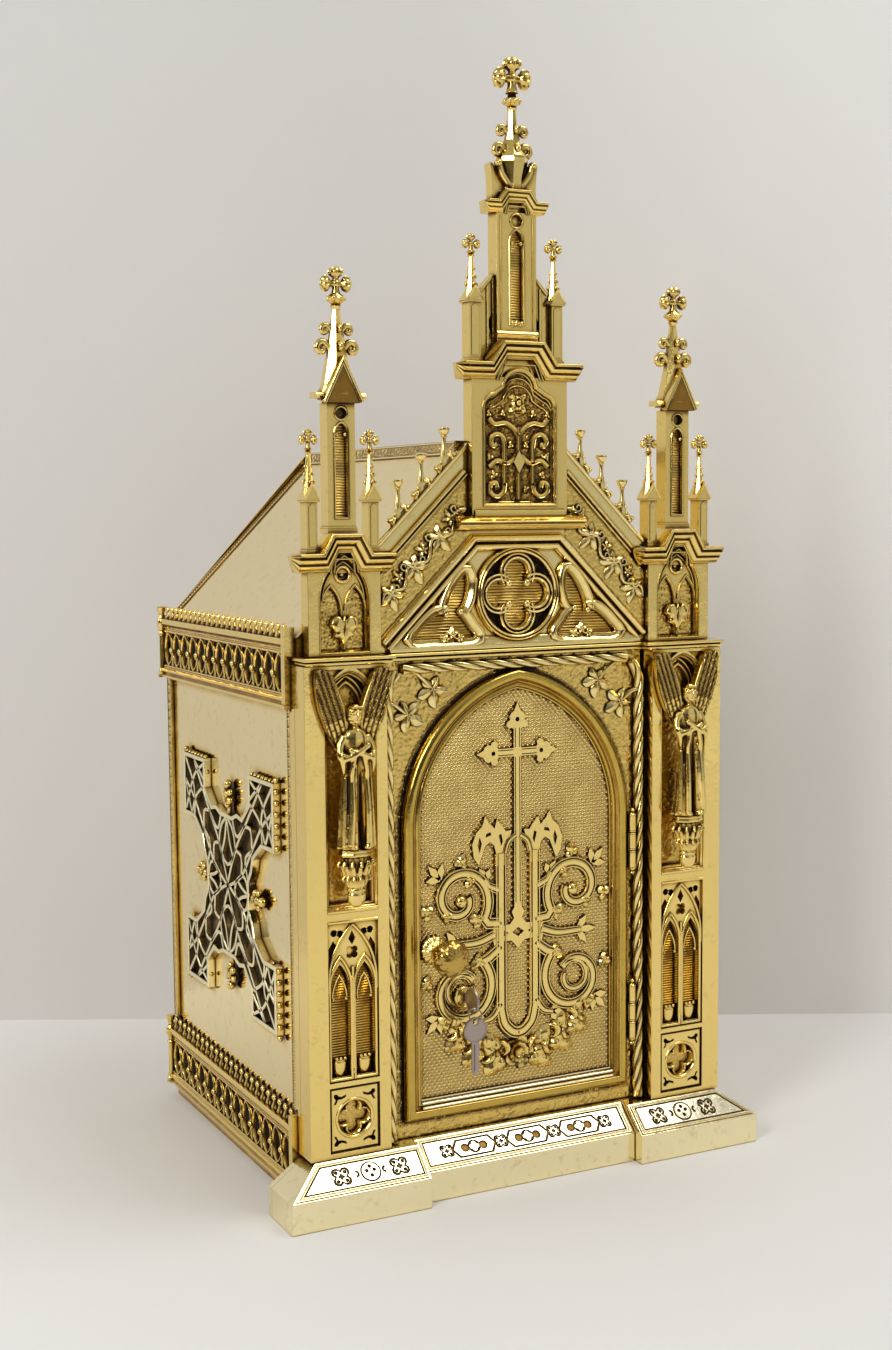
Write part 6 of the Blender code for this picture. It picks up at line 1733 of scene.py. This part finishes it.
def sprig(x, z, turn, root):
    """An ivy leaf whose stalk leaves the rope at root."""
    depth = Extent("rope_top").cy
    stalk = curve([(root[0], depth - 0.5, root[1]), ((root[0] + x) / 2 + 3, depth, (root[1] + z) / 2 + 4),
        (x, depth + 1.2, z)], 6)
    face = BAY - 2.2
    solids = [tube(stalk, np.linspace(2.2, 1.3, len(stalk)), 8),
        leaf(x, z, 15.6, turn, face, 5, 3, sides=70, deep=0.5)]
    lean = radians(turn)
    for a in around(5, lean):
        vein = [(x + r * cos(a), face - h, z + r * sin(a))
            for r, h in ((0.5, 2.4), (5.5, 2.7), (10.5, 2.2))]
        solids.append(tube(vein, [0.7, 0.6, 0.3], 6))
    return solids


def rope():
    """The rope over the door and down both its sides, with the ivy that it carries."""
    depth = Extent("rope_top").cy
    side, top, foot = 117.3, 428.2, 46.6
    turn = 51
    bend = curve([(side, depth, 398), (side + 0.2, depth, 408), (115, depth, 418), (109.5, depth, 425)], 7)
    upright = along_line((side, depth, foot), (side, depth, 396.6), 1.7) + bend
    both("rope_side_cast", twisted(upright, 2.15, 2.42, turn) + sprig(99.3, 391, 210, (side - 0.6, 400.4)),
        replaces=["rope_side"], corner=60, finish=ROPE)
    across = along_line((-104.5, depth, top), (104.5, depth, top), 1.7)
    leaves = sprig(77, 410.6, 262, (97.5, top - 0.4))
    make("rope_top_cast", twisted(across, 2.15, 2.42, turn, 0.6) + twin(leaves), replaces=["rope_top"],
        corner=60, finish=ROPE)


def string_ledge():
    """The ledge that runs round the front above the piers and the bay."""
    whole = Extent("string_ledge")

    def plan(out):
        side, step = 191.6 + out, 118.7 - out
        front, bay = -1 - out, 9.5 - out
        left = [(-side, whole.y1), (-side, front), (-step, front), (-step, bay)]
        return left + mirror(left)

    low, high = whole.z0, whole.z1
    levels = ((low, 0), (low + 0.9, 0.5), (low + 1.7, 0.5), (low + 2, 0), (low + 2.5, 0.2),
        (low + 2.9, 1.2), (low + 3.3, 2), (low + 3.7, 2.2), (high - 0.8, 2.2), (high - 0.3, 2), (high, 1.6))
    solid = rings([[(x, y, z) for x, y in plan(out)] for z, out in levels])
    make("string_ledge_cast", solid, replaces=["string_ledge"], corner=50)


def bay_ground():
    """Punched ground round the door, and a dark strip of it along the door's edge that paints the shade in
    the gap beside the frame.
    """
    half = Extent("front_plate").x1
    hole = lancet(0, 106.4, 59.2, 298, 425, 24)
    box = rect(-half + 0.4, half - 0.4, 46, 434.4)
    outline = box + [box[0]] + hole[::-1] + [hole[-1], box[0]]
    make("bay_punched_ground", field(outline, BAY - 0.1, (1.2, 1.2), stipple(1.1)), GROUND, sheet=True)
    # The gutter's dark finish is painted shade between the door frame and the rope.
    gutter = lancet(0, 109.6, 56, 298, 427.4, 24)
    rim = gutter + [gutter[0]] + hole[::-1] + [hole[-1], gutter[0]]
    make("bay_gutter", field(rim, BAY - 0.6, (0.9, 0.9), stipple(0.9, 8)), KNOB, sheet=True)


# ---- plinth ----
PLINTH_RISE = 24.4      # height of the upright faces of the plinth
WEATHER_RUN, WEATHER_RISE = 23, 20.8


def weathered(x0, x1, front, hip, ornaments):
    """The worked panel on a weathered top: a raised frame, a groove and the field with its ornaments."""
    length = hypot(WEATHER_RISE, WEATHER_RUN)
    lean = hip / length

    def frame(inset, depth):
        top = length - inset
        return [(x0 + inset, inset), (x1 - inset * 1.4 - inset * lean, inset),
            (x1 - inset * 1.4 - top * lean, top), (x0 + inset, top)], depth

    layers = [frame(1.6, -1.3), frame(4.5, None), frame(5.7, -1.1)] + ornaments
    panel = terraced(layers, -0.2)
    ground = terraced([frame(2, -0.3)], 0.4)
    ring = frame(3.2, 0)[0]
    bar = sweep(ring, even((0.9, -0.6), (0.7, 0.5), (0, 0.9)), -1.1, closed=True)
    slope = atan2(WEATHER_RISE, WEATHER_RUN)
    panel, bar, ground = (tipped(s, front, PLINTH_RISE, slope) for s in (panel, bar, ground))
    return [panel, bar], ground


def floret(x, z, big=1):
    """Four petals crosswise, lined in black and pierced, round a raised middle."""
    marks = [(foils(x, z, 4.2 * big, 3.3 * big, 4, 5, EIGHTH_TURN), None),
        (foils(x, z, 3.9 * big, 2 * big, 4, 5, EIGHTH_TURN), -1.2)]
    for a in around(4, EIGHTH_TURN):
        marks.append((circle(x + 4.2 * big * cos(a), z + 4.2 * big * sin(a), 1.25 * big, 10), None))
    return marks + [(foils(x, z, 1.3 * big, 1 * big, 4, 3), None)]


def plinth_body(x0, x1, y0, y1, levels):
    """A block from levels of (z, how far the front falls back, how far the right end draws in)."""
    return rings([[(x0, y0 + back, z), (x1 - draw, y0 + back, z), (x1 - draw, y1, z), (x0, y1, z)]
        for z, back, draw in levels])


def plinths():
    """The plinth: a middle length and a corner block at each side, all with worked weathered tops."""
    mid = hypot(WEATHER_RISE, WEATHER_RUN) / 2
    right = Extent("plinth_right")
    x0, x1, front, rise, top = right.x0, right.x1, right.y0, PLINTH_RISE, right.z1
    hip, run, rear_face = x1 - 190, WEATHER_RUN, 19.7
    row = (x0 + 190) / 2 + 3
    marks = floret(row - 25, mid, 1.25) + floret(row + 25, mid, 1.25)
    marks += [(circle(row, mid, 8.7, 30), None), (circle(row, mid, 7.5, 28), -1.4)]
    marks += [(circle(row + dx, mid + dz, 1.6, 10), None)
        for dx, dz in ((-3.2, 1), (3.2, 1), (0, -3.4), (0, 4.4))]
    for s in (-1, 1):
        marks.append((arc(row + s * 12.8, mid, 3.2, 90, 90 + s * 180, 6)[::s]
            + arc(row + s * 12.8, mid, 1.4, 90 + s * 180, 90, 6)[::s], None))
    panel, ground = weathered(x0, x1, front, hip, marks)
    both("plinth_block_ground", ground, finish=DARK)
    body = plinth_body(x0, x1, front, rear_face, ((0, 0, 0), (rise, 0, 0), (top, run, hip)))
    spur = plinth_body(190.3, x1, rear_face - 0.2, right.y1,
        ((0.05, 0, 0.05), (rise, 0, 0.05), (44, 0, hip - 1.45)))
    both("plinth_block", [body, spur], finish=RUBBED, replaces=["plinth"], bevel=0.5)
    both("plinth_block_panel", panel, finish=ENGRAVED, bevel=0.2)
    centre = Extent("plinth_centre")
    marks = []
    for k in (-1, 0, 1):
        for grow, depth in ((0, None), (-1.5, -1.1)):
            wide, tall, point = 15.5 + grow, 8.2 + grow, 20.6 + grow * 1.3
            oblong = [(point, 0), (wide, tall), (-wide, tall), (-point, 0), (-wide, -tall), (wide, -tall)]
            marks.append((placed(oblong, k * 50, mid), depth))
        for dx, r in ((-8.4, 3.7), (8.4, 3.7), (0, 5.8)):
            marks.append((circle(k * 50 + dx, mid, r, 18), None))
        marks += [(foils(k * 50, mid, 2.4, 2.2, 4, 4), -1.4)]
    for k in (-1.5, -0.5, 0.5, 1.5):
        marks += floret(k * 50, mid, 0.95)
    panel, ground = weathered(centre.x0, centre.x1, centre.y0, 0, marks)
    make("plinth_middle_ground", ground, DARK)
    body = plinth_body(centre.x0, centre.x1, centre.y0, rear_face, ((0, 0, 0), (rise, 0, 0), (top, run, 0)))
    make("plinth_middle", body, RUBBED, replaces=["plinth_centre"], bevel=0.5)
    make("plinth_middle_panel", panel, ENGRAVED, bevel=0.2)


rope()
string_ledge()
bay_ground()
plinths()


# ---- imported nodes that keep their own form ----
for node in ("side_sheet_left", "side_sheet_right", "floor_sheet", "back_sheet", "roof_slope_left",
        "roof_slope_right", "roof_ridge"):
    keep_node(node, SHEET, 0.4)
keep_node("front_plate", CAST, 0.3)


# ---- floor, wall, light and camera ----
EYE = (-696.54, -1232.77, 552.02)      # millimetres in the maker's frame
YAW, PITCH, ROLL = (radians(a) for a in (26.88, -5.34, -0.44))
LENS = 46.768                          # millimetres, in front of a sensor 36 mm high
WALL_OFF = 1.88                        # metres from the camera to the wall


def panel(name, corners, finish):
    """A flat piece of the room, its corners in metres."""
    mesh = bpy.data.meshes.new(name)
    mesh.from_pydata(corners, [], [(0, 1, 2, 3)])
    mesh.materials.append(finish)
    in_scene(name, mesh)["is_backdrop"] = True


def wall_paint():
    """Plaster that shows from the room's side only, so that the wall never hides the back of the case."""
    material, tree, where = new_material("wall_paint")
    cloud = tree.grain(where, 2, 3)
    # The paint runs from a darker grey at low x to a lighter one at high x: painted light and shade across
    # the wall.
    across = tree.node("SeparateXYZ", {}, {0: where}, 0) + (cloud - 0.5) * 0.3
    colour = across.ease(0, 0.65).blend((0.74, 0.72, 0.695, 1), (0.93, 0.91, 0.88, 1))
    paint = tree.node("BsdfPrincipled", {}, {"Base Color": colour, "Roughness": 0.6})
    nothing = tree.node("BsdfTransparent")
    behind = tree.node("NewGeometry", out=6)
    tree.node("OutputMaterial", {},
        {"Surface": tree.node("MixShader", {}, {0: behind, 1: paint, 2: nothing})})
    return material


def studio():
    """Pale floor and wall under soft daylight, with four large lamps."""
    room = plain("studio_paper", (0.86, 0.845, 0.825), 0.7)
    panel("floor", [(-4, -4, 0), (4, -4, 0), (4, 4, 0), (-4, 4, 0)], room)
    x, y = EYE[0] * MM + WALL_OFF * sin(YAW), EYE[1] * MM + PIER_FACE_Y + WALL_OFF * cos(YAW)
    dx, dy = 4 * cos(YAW), -4 * sin(YAW)
    panel("wall", [(x - dx, y - dy, 0), (x + dx, y + dy, 0), (x + dx, y + dy, 4), (x - dx, y - dy, 4)],
        wall_paint())
    world = bpy.data.worlds.new("soft_daylight")
    bpy.context.scene.world = world
    world.use_nodes = True
    world.node_tree.nodes.clear()
    tree = Tone(world.node_tree)
    up = tree.node("TexCoord", out=0)
    height = tree.node("SeparateXYZ", {}, {0: up}, 2)
    sky = height.ease(-0.3, 0.9).ramp([(0, (0.10, 0.085, 0.07)), (0.42, (0.13, 0.12, 0.11)),
        (1, (0.75, 0.74, 0.72))])
    light = tree.node("Background", {}, {"Color": sky, "Strength": 0.6})
    tree.node("OutputWorld", {}, {"Surface": light})
    lamps = (("softbox_front", (1.25, -2.2, 0.8), (1.9, 1.9), 5.2),
        ("window_left", (-2.3, -1.5, 1.7), (0.7, 1.5), 34), ("ceiling", (0.95, -0.1, 2.6), (2.4, 1.5), 44),
        ("window_side", (-2.4, 0.9, 1.3), (0.9, 1.3), 9))
    bpy.context.scene.view_settings.view_transform = "Standard"
    for name, spot, size, power in lamps:
        lamp = bpy.data.lights.new(name, "AREA")
        lamp.shape, lamp.size, lamp.size_y, lamp.energy = "RECTANGLE", *size, power
        holder = in_scene(name, lamp)
        holder.location = spot
        holder.rotation_euler = (Vector((0, 0, 0.4)) - Vector(spot)).to_track_quat("-Z", "Y").to_euler()


def camera():
    """Looks at the front from the viewer's left, a little from above."""
    ahead = Vector((sin(YAW) * cos(PITCH), cos(YAW) * cos(PITCH), sin(PITCH)))
    right = ahead.cross(Vector((0, 0, 1))).normalized()
    up = right.cross(ahead)
    across = right * cos(ROLL) + up * sin(ROLL)
    above = up * cos(ROLL) - right * sin(ROLL)
    lens = bpy.data.cameras.new("camera")
    lens.sensor_fit, lens.sensor_height = "VERTICAL", 36
    lens.lens = LENS
    lens.clip_start, lens.clip_end = 0.05, 20
    holder = in_scene("camera", lens)
    turn = Matrix((across, above, -ahead)).transposed().to_4x4()
    x, y, z = EYE
    holder.matrix_world = Matrix.Translation((x * MM, y * MM + PIER_FACE_Y, z * MM)) @ turn
    bpy.context.scene.camera = holder


studio()
camera()
[[list(corner) for corner in box] for box in ((cad_low, cad_high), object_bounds())]
